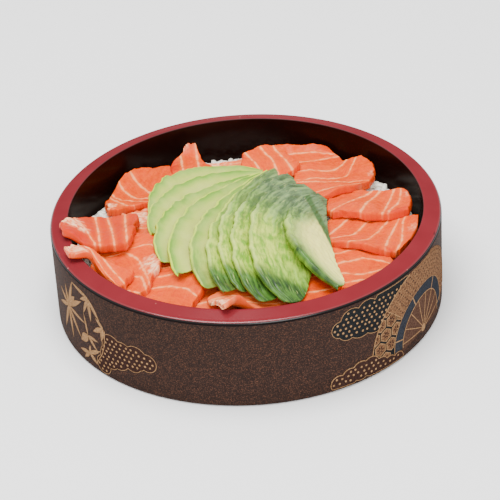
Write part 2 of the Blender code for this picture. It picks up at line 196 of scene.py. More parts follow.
# %% Colours and wires
def linear(red, green, blue):
    """A colour from 0 to 255, as a screen shows it, as the linear numbers of a shader."""
    c = np.array([red, green, blue]) / 255
    return tuple(float(v) for v in np.where(c <= 0.04045, c / 12.92, ((c + 0.055) / 1.055) ** 2.4))


class Wire:
    """A number that leaves a node. Sums of wires and numbers add Math nodes."""

    def __init__(self, look, socket):
        self.look = look
        self.socket = socket

    def math(self, operation, other=None, first=False):
        """A Math node on this wire and the other number, or on the other one first."""
        pair = [other, self] if first else [self, other]
        values = {i: v for i, v in enumerate(pair) if v is not None}
        return self.look.add("ShaderNodeMath", {"operation": operation}, values)

    def __add__(self, other):
        return self.math("ADD", other)

    def __radd__(self, other):
        return self.math("ADD", other)

    def __sub__(self, other):
        return self.math("SUBTRACT", other)

    def __rsub__(self, other):
        return self.math("SUBTRACT", other, first=True)

    def __mul__(self, other):
        return self.math("MULTIPLY", other)

    def __rmul__(self, other):
        return self.math("MULTIPLY", other)

    def __truediv__(self, other):
        return self.math("DIVIDE", other)

    def __abs__(self):
        return self.math("ABSOLUTE")

    def fraction(self):
        """What is left over the whole number below."""
        return self.math("FRACT")

    def at_least(self, other):
        """The greater of the two numbers."""
        return self.math("MAXIMUM", other)

    def step(self, low, high, start=0.0, end=1.0):
        """From start to end along an S-shaped cubic as the wire goes from low to high."""
        return self.look.add(
            "ShaderNodeMapRange", {"interpolation_type": "SMOOTHSTEP"},
            {"Value": self, "From Min": low, "From Max": high, "To Min": start, "To Max": end})


print("middle grey as a linear number:", round(linear(128, 128, 128)[0], 3))

# %% Looks
class Look:
    """A material with one Principled shader, and the method that adds nodes to it."""

    def __init__(self, name, **constants):
        self.material = bpy.data.materials.new(name)
        self.material.use_nodes = True
        self.shader = self.material.node_tree.nodes["Principled BSDF"]
        self.finish(**constants)

    def add(self, kind, settings=None, values=None, out=0):
        """A node of that kind. Settings are its own properties, or stops, a ramp's places and
        colours. Values are numbers, colours or wires for its sockets, by name or number."""
        node = self.material.node_tree.nodes.new(kind)
        for key, value in (settings or {}).items():
            if key == "stops":
                self.set_stops(node.color_ramp, value)
            else:
                setattr(node, key, value)
        for key, value in (values or {}).items():
            self.plug(node.inputs[key], value)
        return Wire(self, node.outputs[out])

    def set_stops(self, ramp, stops):
        """Give a ramp its stops: a place from 0 to 1 and a screen colour for each."""
        while len(ramp.elements) < len(stops):
            ramp.elements.new(1.0)
        for element, (place, colour) in zip(ramp.elements, stops):
            element.position = place
            element.color = (*linear(*colour), 1.0)

    def plug(self, socket, value):
        """Set a socket to a number, a vector or a screen colour, or join a wire to it."""
        if isinstance(value, Wire):
            self.material.node_tree.links.new(value.socket, socket)
        elif isinstance(value, tuple) and socket.type == "RGBA":
            socket.default_value = (*linear(*value), 1.0)
        else:
            socket.default_value = value

    def finish(self, **values):
        """Set the shader's sockets, or join wires to them, by names such as base_color."""
        for key, value in values.items():
            name = key.replace("_", " ").title().replace("Ior", "IOR")
            self.plug(self.shader.inputs[name], value)

    def value(self, name):
        """The number that a piece keeps at each point under that name."""
        return self.add("ShaderNodeAttribute", {"attribute_name": name}, out="Fac")

    def place(self):
        """Where a point is, in metres."""
        return self.add("ShaderNodeTexCoord", out="Object")

    def surface(self):
        """A point's pair of numbers on its piece's own surface."""
        return self.add("ShaderNodeUVMap", {"uv_map": "surface"})

    def stretch(self, vector, scale):
        """A vector with each of its numbers multiplied by its own scale."""
        return self.add("ShaderNodeVectorMath", {"operation": "MULTIPLY"}, {0: vector, 1: scale})

    def noise(self, vector, scale, detail=2.0, roughness=0.5, seed=0.0):
        """Soft noise from 0 to 1; its seed moves it to another place."""
        moved = self.add("ShaderNodeVectorMath", {"operation": "ADD"},
                         {0: vector, 1: (seed, seed * 0.37, -seed)})
        return self.add("ShaderNodeTexNoise", None,
                        {"Vector": moved, "Scale": scale, "Detail": detail, "Roughness": roughness})

    def near(self, vector, centre, wide, narrow):
        """1 within the narrow distance of a place, falling to 0 at the wide one."""
        far = self.add("ShaderNodeVectorMath", {"operation": "DISTANCE"}, {0: vector, 1: centre},
                       out="Value")
        return far.step(wide, narrow)

    def mix(self, share, one, other):
        """One colour where the share is 0, the other where it is 1."""
        return self.add("ShaderNodeMix", {"data_type": "RGBA"}, {0: share, 6: one, 7: other}, out=2)

    def layered(self, colour, *layers):
        """A colour with each layer, which is a share and a colour, laid over it in turn."""
        for share, other in layers:
            colour = self.mix(share, colour, other)
        return colour

    def bump(self, height, distance, strength=1.0):
        """A normal bent by a height from 0 to 1 that stands for so many metres."""
        return self.add("ShaderNodeBump", None,
                        {"Strength": strength, "Distance": distance, "Height": height})


print("shader helpers ready")

# %% [markdown]
# ## Camera, floor and light
#
# The bowl was photographed from about 33 degrees above the table through a long lens, which
# hardly narrows what is further away, and the picture is turned by three and a half degrees.
# It stands on white, in soft light from above.

# %% Camera
ELEVATION = math.radians(32.74)
ROLL = math.radians(3.49)
DISTANCE = 2.0
LENS_MM = 295.5
TARGET = Vector((0.00111, 0.0, 0.0272))

ahead = Vector((0, math.cos(ELEVATION), -math.sin(ELEVATION)))
across = Vector((1, 0, 0))
upwards = across.cross(ahead)
view_x = across * math.cos(ROLL) - upwards * math.sin(ROLL)
view_y = across * math.sin(ROLL) + upwards * math.cos(ROLL)
turned = Matrix((view_x, view_y, -ahead)).transposed().to_4x4()
lens = bpy.data.cameras.new("camera")
lens.lens = LENS_MM
lens.clip_start = 0.05
camera = bpy.data.objects.new("camera", lens)
camera.matrix_world = Matrix.Translation(TARGET - ahead * DISTANCE) @ turned
bpy.context.scene.collection.objects.link(camera)
bpy.context.scene.camera = camera
print("camera at", [round(v, 3) for v in camera.location])

# %% Floor and studio light
FLOOR_SIZE = 3.0
FLOOR_DROP = 0.0001

white = Look("white_paper", roughness=0.9)
white.finish(base_color=(250, 250, 250))
half = FLOOR_SIZE / 2
floor_mesh = bpy.data.meshes.new("floor")
floor_corners = [(-half, -half), (half, -half), (half, half), (-half, half)]
floor_mesh.from_pydata([(x, y, -FLOOR_DROP) for x, y in floor_corners], [], [(0, 1, 2, 3)])
floor_mesh.materials.append(white.material)
floor = bpy.data.objects.new("floor", floor_mesh)
bpy.context.scene.collection.objects.link(floor)

world = bpy.data.worlds.new("studio")
world.use_nodes = True
world.node_tree.nodes["Background"].inputs["Color"].default_value = (1, 1, 1, 1)
world.node_tree.nodes["Background"].inputs["Strength"].default_value = 1.0
bpy.context.scene.world = world


def soft_box(name, place, size, watts):
    """A square area light that points at the middle of the bowl."""
    lamp = bpy.data.lights.new(name, "AREA")
    lamp.shape = "SQUARE"
    lamp.size = size
    lamp.energy = watts
    box = bpy.data.objects.new(name, lamp)
    box.location = place
    box.rotation_euler = (TARGET - Vector(place)).to_track_quat("-Z", "Y").to_euler()
    bpy.context.scene.collection.objects.link(box)


soft_box("light_above", (-0.15, -0.1, 1.2), 0.8, 26.0)
soft_box("light_front", (0.35, -1.2, 0.8), 0.8, 12.0)
print("floor and lights placed")

# %% [markdown]
# ## The tub
#
# Real tubs of this kind are turned or moulded, then sprayed with dark lacquer. A turned shape
# is an outline, carried round an axis, so the outline is written once as distance from the
# axis against height, with arcs where it is rounded. Each point also keeps how far along the
# outline it lies. The lacquer reads that number to know where the red band begins and ends,
# so the paint's edges stay sharp however fine the mesh is.

# %% The tub's outline
tub_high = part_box("tub")[1]
RIM_RADIUS = round(tub_high.x / MM, 2)
RIM_INNER_HEIGHT = round(tub_high.z / MM, 2)
FOOT_RADIUS = RIM_RADIUS - 1.0
MOUTH_RADIUS = RIM_RADIUS - 8.8
FLOOR_RADIUS = MOUTH_RADIUS - 1.8
RIM_OUTER_HEIGHT = RIM_INNER_HEIGHT - 2.2
RIM_ROUND = 1.8
LIP_ROUND = 0.7
FLOOR_HEIGHT = 5.0
FLOOR_FILLET = 4.0
FOOT_ROUND = 1.4
FOOT_WIDTH = 8.0
FOOT_RECESS = 1.5
AXIS_GAP = 0.5
TUB_STEPS = 288


def arc(centre, radius, start, steps=8):
    """A quarter circle of (distance, height) points, anticlockwise from start degrees."""
    angles = np.radians(np.linspace(start, start + 90, steps + 1))
    return np.column_stack([centre[0] + radius * np.cos(angles), centre[1] + radius * np.sin(angles)])


def line(start, end, steps):
    """Evenly spaced points from the start up to, but without, the end."""
    t = np.arange(steps)[:, None] / steps
    return np.array(start) + t * (np.array(end) - np.array(start))


foot_inner = FOOT_RADIUS - FOOT_WIDTH
foot_arc = arc((FOOT_RADIUS - FOOT_ROUND, FOOT_ROUND), FOOT_ROUND, 270)
rim_arc = arc((RIM_RADIUS - RIM_ROUND, RIM_OUTER_HEIGHT - RIM_ROUND), RIM_ROUND, 0)
lip_arc = arc((MOUTH_RADIUS + LIP_ROUND, RIM_INNER_HEIGHT - LIP_ROUND), LIP_ROUND, 90)
fillet = arc((FLOOR_RADIUS - FLOOR_FILLET, FLOOR_HEIGHT + FLOOR_FILLET), FLOOR_FILLET, 270)[::-1]
outline = np.vstack([
    line((AXIS_GAP, FOOT_RECESS), (foot_inner - FOOT_RECESS, FOOT_RECESS), 6),
    line((foot_inner - FOOT_RECESS, FOOT_RECESS), (foot_inner, 0), 3),
    line((foot_inner, 0), foot_arc[0], 3), foot_arc[:-1],
    line(foot_arc[-1], rim_arc[0], 20), rim_arc[:-1],
    line(rim_arc[-1], lip_arc[0], 8), lip_arc[:-1],
    line(lip_arc[-1], fillet[0], 16), fillet[:-1],
    line(fillet[-1], (AXIS_GAP, FLOOR_HEIGHT), 10), [(AXIS_GAP, FLOOR_HEIGHT)]])
outline_steps = np.hypot(*np.diff(outline, axis=0).T)
outline_run = np.concatenate([[0], np.cumsum(outline_steps)])
print("outline points:", len(outline), "length:", round(float(outline_run[-1]), 1), "mm")


def run_at(point):
    """How far along the outline the point nearest to a (distance, height) place lies."""
    return float(outline_run[np.hypot(*(outline - np.array(point)).T).argmin()])


band_start = run_at(rim_arc[4])
band_end = run_at(lip_arc[5])
print("the red band runs from", round(band_start, 1), "to", round(band_end, 1), "mm")

# %% [markdown]
# The outside is brown lacquer with metal powder in it, so it is a dark ground with specks of
# brown and copper, a third of a millimetre wide. The rim is red, a little duller, with a few
# dust specks. A black line runs where the two meet, with the red chipped beside it. A thin
# grey line on the rim's inner edge is a painted highlight. The inside is nearly black with a
# red depth to it, and glossier than the outside.

# %% Lacquer
def lacquer_look():
    """The tub's finish, by how far along the outline a point lies."""
    look = Look("speckled_lacquer", specular_ior_level=0.0, coat_roughness=0.22, coat_ior=1.5)
    run = look.value("run")
    place = look.place()
    cells = look.add("ShaderNodeTexVoronoi", None, {"Vector": place, "Scale": 3300.0}, out="Color")
    speck = look.add("ShaderNodeSeparateColor", None, {"Color": cells}, out="Red")
    tint = look.add("ShaderNodeSeparateColor", None, {"Color": cells}, out="Green")
    powder = look.mix(tint, (68, 48, 40), (96, 62, 46))
    ground = look.mix(look.noise(place, 260.0), (34, 25, 23), (46, 34, 30))
    outside = look.mix(speck.step(0.62, 1.0), ground, powder)
    dust = look.add("ShaderNodeTexVoronoi", None, {"Vector": place, "Scale": 130.0})
    red = look.mix(look.noise(place, 60.0, seed=3.0), (104, 28, 34), (120, 38, 44))
    red = look.mix(dust.step(0.07, 0.03), red, (176, 104, 96))
    inside = look.mix(look.noise(place, 22.0, seed=5.0), (14, 4, 3), (30, 9, 6))
    chips = look.noise(place, 75.0, detail=3.0, seed=12.0).step(0.6, 0.66)
    chips = chips * run.step(band_start - 1.0, band_start) * run.step(band_start + 1.4, band_start + 0.3)
    colour = look.layered(
        outside,
        (run.step(band_start - 0.05, band_start + 0.05), red),
        (abs(run - (band_start - 0.8)).step(0.9, 0.7).at_least(chips), (14, 8, 8)),
        (run.step(band_end - 0.05, band_end + 0.05), inside),
        # painted highlight: a thin light grey line along the rim's inner edge
        (abs(run - band_end).step(0.4, 0.2) * 0.6, (84, 58, 60)))
    past_band = run.step(band_end, band_end + 0.3)
    on_edge = abs(run - band_start).step(0.9, 0.5)
    rough = look.noise(place, 420.0, detail=3.0, seed=9.0) * 0.12 + 0.4
    coat = on_edge * 0.7 + past_band * 0.1 + 0.08
    grain = look.noise(place, 900.0, seed=2.0)
    look.finish(base_color=colour, roughness=rough, coat_weight=coat,
                normal=look.bump(grain, 0.00004, 0.35))
    return look


lacquer = lacquer_look()


def turned_grid(outline, steps):
    """The outline's (distance, height) points carried round the upright axis."""
    angles = np.arange(steps) * math.tau / steps
    x, y = np.outer(np.cos(angles), outline[:, 0]), np.outer(np.sin(angles), outline[:, 0])
    return np.stack([x, y, np.broadcast_to(outline[:, 1], x.shape)], axis=-1)


tub_ends = [[0, 0, outline[0, 1]], [0, 0, outline[-1, 1]]]
tub_points, tub_faces = spun_skin(turned_grid(outline, TUB_STEPS), tub_ends)
tub_run = np.concatenate([np.tile(outline_run, TUB_STEPS), [0, outline_run[-1]]])
tub = put_mesh("tub_shell", tub_points, tub_faces, lacquer, {"run": tub_run})
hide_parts("tub")
print("tub faces:", len(tub_faces))

# %% [markdown]
# ## Lacquer pictures
#
# The wall carries traditional motifs in gold powder and black lacquer: clouds with dots, a
# cart wheel inside a wide curved band of tortoiseshell hexagons, and sprays of bamboo. They
# are painted, so they stand three tenths of a millimetre proud of the wall at most. Each is
# drawn flat, in millimetres round the wall from the front and up it, and then wrapped on the
# wall. What was painted later lies at a higher level, and so covers what is under it.

# %% Places on the wall
WALL_MIDDLE = 94.5
SUNK = -0.08
LEVEL = 0.03


def on_wall(flat, raised):
    """Places on the wall for flat ones (round, up): the length round becomes an angle, and
    the wall's distance from the axis grows evenly with the height."""
    slope = (rim_arc[0][0] - FOOT_RADIUS) / (rim_arc[0][1] - FOOT_ROUND)
    radius = FOOT_RADIUS + (flat[..., 1] - FOOT_ROUND) * slope + raised
    angle = flat[..., 0] / WALL_MIDDLE
    return np.stack([radius * np.sin(angle), -radius * np.cos(angle), flat[..., 1]], axis=-1)


def in_triangles(points, quads):
    """The same closed skin in triangles that face outwards."""
    quads = facing_out(points, quads)
    return points, np.vstack([quads[:, [0, 1, 2]], quads[:, [0, 2, 3]]])


def painted(flat, level):
    """A plate of paint over a flat grid of places."""
    return in_triangles(*closed_plate(on_wall(flat, SUNK), on_wall(flat, level * LEVEL)))


print("wall from", FOOT_RADIUS, "to", rim_arc[0][0], "mm")

# %% Brush lines, leaves and dots
STROKE_STEP = 1.5
STROKE_TOP = 0.8
LEAF_STEPS = 12
DOT_TOP = 0.85


def stroke(path, width, level, closed=False):
    """A brush line along a path: at each place, four corners across it, of which the outer
    two are sunk in the wall. A path with long steps is divided first, so that it follows the
    wall, and a closed one ends where it starts."""
    path = np.array(path, float)
    run = np.concatenate([[0], np.cumsum(np.hypot(*np.diff(path, axis=0).T))])
    if not closed and np.diff(run).max() > STROKE_STEP:
        even = np.linspace(0, run[-1], int(run[-1] / STROKE_STEP) + 2)
        path = np.column_stack([np.interp(even, run, path[:, 0]), np.interp(even, run, path[:, 1])])
    if closed:
        path = np.vstack([path[-1:], path, path[:2]])
    ahead = np.gradient(path, axis=0)
    ahead /= np.maximum(np.hypot(*ahead.T), 1e-6)[:, None]
    if closed:
        path, ahead = path[1:-1], ahead[1:-1]
    side = np.column_stack([-ahead[:, 1], ahead[:, 0]]) * 0.5 * width
    up = level * LEVEL
    shares = ((-1.0, SUNK), (-STROKE_TOP, up), (STROKE_TOP, up), (1.0, SUNK))
    corners = np.stack([on_wall(path + share * side, raised) for share, raised in shares], axis=1)
    at = np.arange(len(path) * 4).reshape(-1, 4)
    after = np.roll(at, -1, axis=1)
    faces = np.stack([at[:-1], at[1:], after[1:], after[:-1]], axis=-1).reshape(-1, 4)
    faces = np.vstack([faces, at[:1], at[-1:, ::-1]])
    return in_triangles(corners.reshape(-1, 3), faces)


def leaf(base, tip, width, level):
    """A filled blade from its base to its tip, whose width follows a sine."""
    t = np.linspace(0.02, 0.99, LEAF_STEPS)[:, None]
    base, tip = np.array(base, float), np.array(tip, float)
    side = np.array([base[1] - tip[1], tip[0] - base[0]]) / np.linalg.norm(tip - base)
    half = 0.5 * width * np.sin(math.pi * t ** 0.8) * np.linspace(-1, 1, 3)
    return painted((base + t * (tip - base))[:, None] + half[..., None] * side, level)


def dots(places, radius, level, sides=8):
    """Round dots at flat places, each a low disc."""
    angles = np.arange(sides) * math.tau / sides
    ring = radius * np.column_stack([np.cos(angles), np.sin(angles)])
    places = np.array(places, float)[:, None]
    middle = np.zeros((1, 2))
    low = on_wall(places + np.vstack([ring, middle]), SUNK)
    high = on_wall(places + np.vstack([DOT_TOP * ring, middle]), level * LEVEL)
    points = np.concatenate([low, high], axis=1)
    one = np.arange(sides)
    after = np.roll(one, -1)
    top = sides + 1
    faces = np.vstack([np.column_stack([one, after, after + top]),
                       np.column_stack([one, after + top, one + top]),
                       np.column_stack([one + top, after + top, np.full(sides, top + sides)]),
                       np.column_stack([after, one, np.full(sides, sides)])])
    starts = np.arange(len(points)) * 2 * top
    faces = facing_out(points[0], faces)
    return points.reshape(-1, 3), (faces[None] + starts[:, None, None]).reshape(-1, 3)


print("triangles of one dot:", len(dots([(0, 20)], 1.0, 1)[1]))

# %% [markdown]
# A cloud in this style is a row of overlapping discs. It is filled with lacquer, lined with
# gold and sprinkled with rows of gold dots. The discs have one upper and one lower edge at
# each length round the wall, so the filling is a grid between the two.

# %% Clouds
CLOUD_LINE = 0.34
CLOUD_DOT = 0.72
CLOUD_PITCH = 3.0
ROW_PITCH = 0.82
DOT_UNEVEN = 0.35
DOT_CLEAR = 1.5
PICTURE_LOW, PICTURE_HIGH = 1.7, 45.4


def cloud_edges(discs, x):
    """The upper and the lower edge of overlapping discs (round, up, radius) at lengths x
    round the wall: the highest and the lowest point of any disc there."""
    discs = np.array(discs, float)
    half = np.sqrt(np.maximum(discs[:, 2] ** 2 - (x[:, None] - discs[:, 0]) ** 2, 0))
    there = half > 0
    high = np.where(there, discs[:, 1] + half, -np.inf).max(axis=1)
    low = np.where(there, discs[:, 1] - half, np.inf).min(axis=1)
    return np.clip(high, PICTURE_LOW, PICTURE_HIGH), np.clip(low, PICTURE_LOW, PICTURE_HIGH)


def cloud(discs, level, gold, fill):
    """A cloud: its filling, a gold line round it, and rows of gold dots, each row shifted by
    half a step against the one below it, and each dot a little out of its place."""
    table = np.array(discs, float)
    start, end = (table[:, 0] - table[:, 2]).min(), (table[:, 0] + table[:, 2]).max()
    x = np.linspace(start + 0.02, end - 0.02, 120)
    high, low = cloud_edges(discs, x)
    shares = np.linspace(0, 1, 9)
    up = low[:, None] + (high - low)[:, None] * shares
    fill.append(painted(np.stack([np.broadcast_to(x[:, None], up.shape), up], axis=-1), level))
    outline_path = np.vstack([np.column_stack([x, high]), np.column_stack([x, low])[::-1]])
    gold.append(stroke(outline_path, CLOUD_LINE, level + 1, closed=True))
    rows, columns = np.meshgrid(np.arange(-20, 20), np.arange(-40, 40), indexing="ij")
    places = np.stack([columns + 0.5 * (rows % 2), rows * ROW_PITCH], axis=-1).reshape(-1, 2)
    places = places * CLOUD_PITCH + table[0, :2]
    places += np.random.default_rng(len(discs)).uniform(-DOT_UNEVEN, DOT_UNEVEN, places.shape)
    places = places[(places[:, 0] > start) & (places[:, 0] < end)]
    high, low = cloud_edges(discs, places[:, 0])
    clear = np.minimum(high - places[:, 1], places[:, 1] - low) > DOT_CLEAR
    gold.append(dots(places[clear], CLOUD_DOT, level + 1))


gold, black, steel, brown, thin_brown, dull_gold = [], [], [], [], [], []
cloud([(42.5, 34.5, 4.6), (46.5, 32.5, 5.2), (49, 38, 6.2), (54, 34, 8), (58, 39, 6.5), (63, 34, 9),
       (70, 40, 8), (80, 43, 6)], 1, gold, black)
cloud([(-53.5, 18.2, 5), (-60, 19, 6.8), (-62, 16, 5.5), (-68, 18, 7.2), (-71.5, 15.5, 7.2),
       (-75, 20, 6.5), (-77, 13, 6.5), (-82, 6.5, 5)], 1, gold, brown)
print("pieces of gold so far:", len(gold))

# %% [markdown]
# The wheel rises out of the foot, and the wide band curves round it. All of it goes round one
# hub, so it is drawn with distances and directions from there.

# %% Places round the hub
HUB = np.array([100.0, 7.0])
WHEEL_INNER, WHEEL_OUTER, BAND_OUTER = 19.3, 25.4, 40.0
CROSS_AT, BAND_LOW, BAND_TOP = 139.0, 187.0, 4.0


def round_hub(radius, degrees):
    """Flat places at a distance from the hub, in a direction from it."""
    angle = np.radians(degrees)
    return HUB + np.stack([radius * np.cos(angle), radius * np.sin(angle)], axis=-1)


def hub_arc(radius, start, end, width, level):
    """A gold line round the hub, between two directions."""
    gold.append(stroke(round_hub(radius, np.linspace(start, end, 60)), width, level))


def hub_line(start, end, degrees, width, level, count=8):
    """A gold line straight away from the hub, between two distances."""
    gold.append(stroke(round_hub(np.linspace(start, end, count), np.full(count, degrees)), width, level))


def sector(inner, outer, start, end, rows=60, columns=7):
    """A grid over part of a ring round the hub. Its outer edge stops short of the rim, and
    both edges stay above the foot."""
    degrees = np.linspace(start, end, rows)[:, None]
    rise = np.sin(np.radians(degrees))
    room = np.where(rise > 0.01, (PICTURE_HIGH - HUB[1]) / np.maximum(rise, 0.01), np.inf)
    near, far = np.minimum(inner, room - 0.5), np.minimum(outer, room)
    radius = near + (far - near) * np.linspace(0, 1, columns)
    flat = round_hub(radius, degrees + 0 * radius)
    flat[..., 1] = np.maximum(flat[..., 1], PICTURE_LOW)
    return flat


def in_band(flat):
    """Flat places drawn back to the nearer edge of the band if they lie past it."""
    away = flat - HUB
    radius = np.hypot(away[..., 0], away[..., 1])[..., None]
    flat = HUB + away / radius * np.clip(radius, WHEEL_OUTER + 0.6, BAND_OUTER - 0.5)
    flat[..., 1] = np.clip(flat[..., 1], PICTURE_LOW, PICTURE_HIGH)
    return flat


print("the band is", round(BAND_OUTER - WHEEL_OUTER, 1), "mm wide")

# %% Tortoiseshell hexagons and fine marks
HEX_ACROSS, HEX_UP = np.array([7.3, 0.0]), np.array([3.9, 6.7])
HEX_RADIUS = 3.6
HEX_START = np.array([69.0, 20.0])
HEX_LINE = 0.5
STAR_WIDTH, STAR_FROM, STAR_SHORT = 0.75, 0.5, 1.3
MARK_RADIUS, MARK_CLEAR = 0.7, 0.8
MARK_PITCH, MARK_ROWS = 3.2, 2.2


def hexagon(middle, radius):
    """A hexagon's outline, with two places on each side."""
    angles = np.arange(6) * math.pi / 3
    corners = middle + radius * np.column_stack([np.sin(angles), np.cos(angles)])
    between = 0.5 * (corners + np.roll(corners, -1, axis=0))
    return np.stack([corners, between], axis=1).reshape(-1, 2)


def tortoiseshell():
    """Hexagons on a lattice in the lower part of the band, each with a six-pointed star."""
    for i in range(-6, 5):
        for j in range(-4, 4):
            middle = HEX_START + i * HEX_ACROSS + j * HEX_UP
            away = middle - HUB
            degrees = math.degrees(math.atan2(away[1], away[0])) % 360
            inside = WHEEL_OUTER - 1 < np.hypot(*away) < BAND_OUTER + 2.5
            if not inside or not CROSS_AT - 5 < degrees < BAND_LOW:
                continue
            edge = hexagon(middle, HEX_RADIUS)
            edge = np.vstack([edge, edge[:1]])
            heart = in_band(middle)
            grid = heart + np.linspace(0.02, 1, 3)[:, None, None] * (in_band(edge) - heart)
            dull_gold.append(painted(grid, 5))
            gold.append(stroke(in_band(edge[:-1]), HEX_LINE, 6, closed=True))
            for k in range(6):
                angle = k * math.pi / 3 + math.pi / 6
                way = np.array([math.sin(angle), math.cos(angle)])
                ends = in_band(middle + np.array([[STAR_FROM], [HEX_RADIUS - STAR_SHORT]]) * way)
                if np.hypot(*(ends[1] - ends[0])) > 1.0:
                    brown.append(leaf(ends[0], ends[1], STAR_WIDTH, 6))


def fine_band():
    """The upper part of the band: rows of small dark triangles on dull gold."""
    dull_gold.append(painted(sector(WHEEL_OUTER, BAND_OUTER, BAND_TOP, CROSS_AT, rows=100), 7))
    marks = []
    for row, radius in enumerate(np.arange(WHEEL_OUTER + 1.8, BAND_OUTER - MARK_CLEAR, MARK_ROWS)):
        step = math.degrees(MARK_PITCH / radius)
        degrees = np.arange(BAND_TOP + 2, CROSS_AT - 1.5, step)
        marks.append(round_hub(radius, degrees + 0.5 * (row % 2) * step))
    marks = np.vstack(marks)
    marks = marks[marks[:, 1] < PICTURE_HIGH - MARK_CLEAR]
    black.append(dots(marks, MARK_RADIUS, 8, sides=3))


black.append(painted(sector(WHEEL_OUTER, BAND_OUTER, CROSS_AT, BAND_LOW), 4))
tortoiseshell()
fine_band()
print("pieces of gold with the hexagons:", len(gold))

# %% Cart wheel
JOINTS = (168, 114, 60, 6)
SPOKES = range(9, 180, 24)
HUB_DOT = 2.3


def wheel():
    """The cart wheel: a rim of blue-grey lacquer with gold joints, a gold line on each side of
    it, spokes and a hub."""
    thin_brown.append(painted(sector(1.0, WHEEL_INNER, -8, 188), 3))
    steel.append(painted(sector(WHEEL_INNER, WHEEL_OUTER, -4, 183, rows=90), 5))
    hub_arc(WHEEL_INNER - 0.3, -4, 183, 0.45, 6)
    hub_arc(WHEEL_OUTER, -2, 184, 0.3, 8)
    for degrees in JOINTS:
        hub_line(WHEEL_INNER, WHEEL_OUTER, degrees, 0.7, 7, count=4)
    for degrees in SPOKES:
        hub_line(HUB_DOT + 0.1, WHEEL_INNER, degrees, 0.5, 5)
    gold.append(dots([HUB], HUB_DOT, 5, sides=16))


wheel()
hub_arc(BAND_OUTER, 108, BAND_LOW - 3, 0.45, 8)
hub_line(WHEEL_OUTER, BAND_OUTER, CROSS_AT, 0.5, 8)
cloud([(41, 4, 4.6), (47, 6, 4.6), (53, 7, 5.2), (59, 7, 5.2), (65, 4, 5), (71, 2.5, 4.4), (77, 2, 4)],
      9, gold, brown)
print("pieces of gold with the wheel:", len(gold))

# %% [markdown]
# Bamboo is drawn with one stroke of the brush for each leaf, broad in the middle and thin at
# both ends. The leaves spread from the joints of a stem, so they are listed by joint, each
# with its tip and its width.

# %% Sprays of bamboo
SPRAYS = {
    (-111, 26): [(-113, 37, 2.2), (-121, 31, 2.2), (-104, 43, 2.4), (-103, 35, 4.5), (-96, 36, 3.0),
                 (-94, 24, 1.8), (-100, 13, 2.2), (-109, 8, 2.2), (-119, 9, 2.2), (-124, 21, 2.4)],
    (-90, 41): [(-104, 43, 1.8), (-82, 31, 2.2), (-89, 28, 2.4), (-95, 30, 2.0), (-97, 37, 2.2)],
    (-93, 18): [(-100, 12, 4.8), (-95, 30, 1.2), (-86, 12, 1.8), (-85, 18, 1.8)],
    (-93, 8): [(-102, 6, 2.2), (-84, 13, 2.4), (-87, 4, 2.4), (-98, 3, 2.2), (-92, 13, 1.6)],
    (-80, 28): [(-88, 23, 2.8), (-82, 20, 2.6), (-85, 32, 1.8)],
}
for joint, leaves in SPRAYS.items():
    for x, up, width in leaves:
        gold.append(leaf(joint, (x, up), width, 3))
gold.append(stroke([(-79, 27), (-79.6, 22), (-80.6, 17), (-82.6, 12), (-85.6, 7.5), (-88, 4)], 0.5, 3))
gold.append(stroke([(-104, 43), (-90, 41), (-80, 28)], 0.5, 3))
print("leaves:", sum(len(leaves) for leaves in SPRAYS.values()))

# %% [markdown]
# The gold is a powder that is sifted on wet lacquer. It is grainy and rather dull, and lets
# the ground show where it lies thin. So each paint is mottled between two colours, and all
# the plates of one paint are joined in one piece.

# %% Paints
def paint(name, dark, light, roughness, metallic=0.0):
    """A paint that is mottled between two colours in grains half a millimetre wide."""
    look = Look(name, roughness=roughness, metallic=metallic, specular_ior_level=0.0)
    grains = look.noise(look.place(), 1400.0, seed=6.0).step(0.35, 0.65)
    look.finish(base_color=look.mix(grains, dark, light))
    return look


PAINTS = {
    "gold": (gold, paint("gold_powder", (130, 98, 66), (158, 122, 86), 0.5, 0.1)),
    "black": (black, paint("black_lacquer", (27, 28, 29), (35, 36, 37), 0.5)),
    "steel": (steel, paint("blue_grey_lacquer", (38, 40, 45), (50, 52, 58), 0.5)),
    "brown": (brown, paint("brown_lacquer", (44, 31, 28), (58, 41, 36), 0.5)),
    "thin_brown": (thin_brown, paint("thin_brown_powder", (62, 45, 38), (86, 63, 52), 0.5)),
    "dull_gold": (dull_gold, paint("thin_gold_powder", (82, 56, 42), (128, 94, 66), 0.5, 0.05)),
}
for name, (parts, look) in PAINTS.items():
    points, faces = joined(parts)
    picture = put_mesh(f"picture_{name}", points, faces, look, turn=False)
    print(picture.name, len(faces), "triangles")

# %% [markdown]
# ## Reading the laid slices
#
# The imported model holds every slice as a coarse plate, already bent over what lies under it.
# Its plan is a known function of two numbers, one along the slice and one across it. At the
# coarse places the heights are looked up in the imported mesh, and a smooth curve through them
# gives the height anywhere between, so that a fine slice lies exactly where the coarse one
# does.

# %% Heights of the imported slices
SAME_PLACE = 0.05


def node_corners(name):
    """A node's corner points in millimetres."""
    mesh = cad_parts[name].data
    points = np.empty(len(mesh.vertices) * 3)
    mesh.vertices.foreach_get("co", points)
    return points.reshape(-1, 3) / MM


def found_heights(corners, x, y):
    """The lowest and the highest corner at each of the places."""
    near = np.hypot(corners[:, 0, None] - x.ravel(), corners[:, 1, None] - y.ravel()) < SAME_PLACE
    low = np.where(near, corners[:, 2, None], np.inf).min(axis=0)
    high = np.where(near, corners[:, 2, None], -np.inf).max(axis=0)
    return low.reshape(x.shape), high.reshape(x.shape)


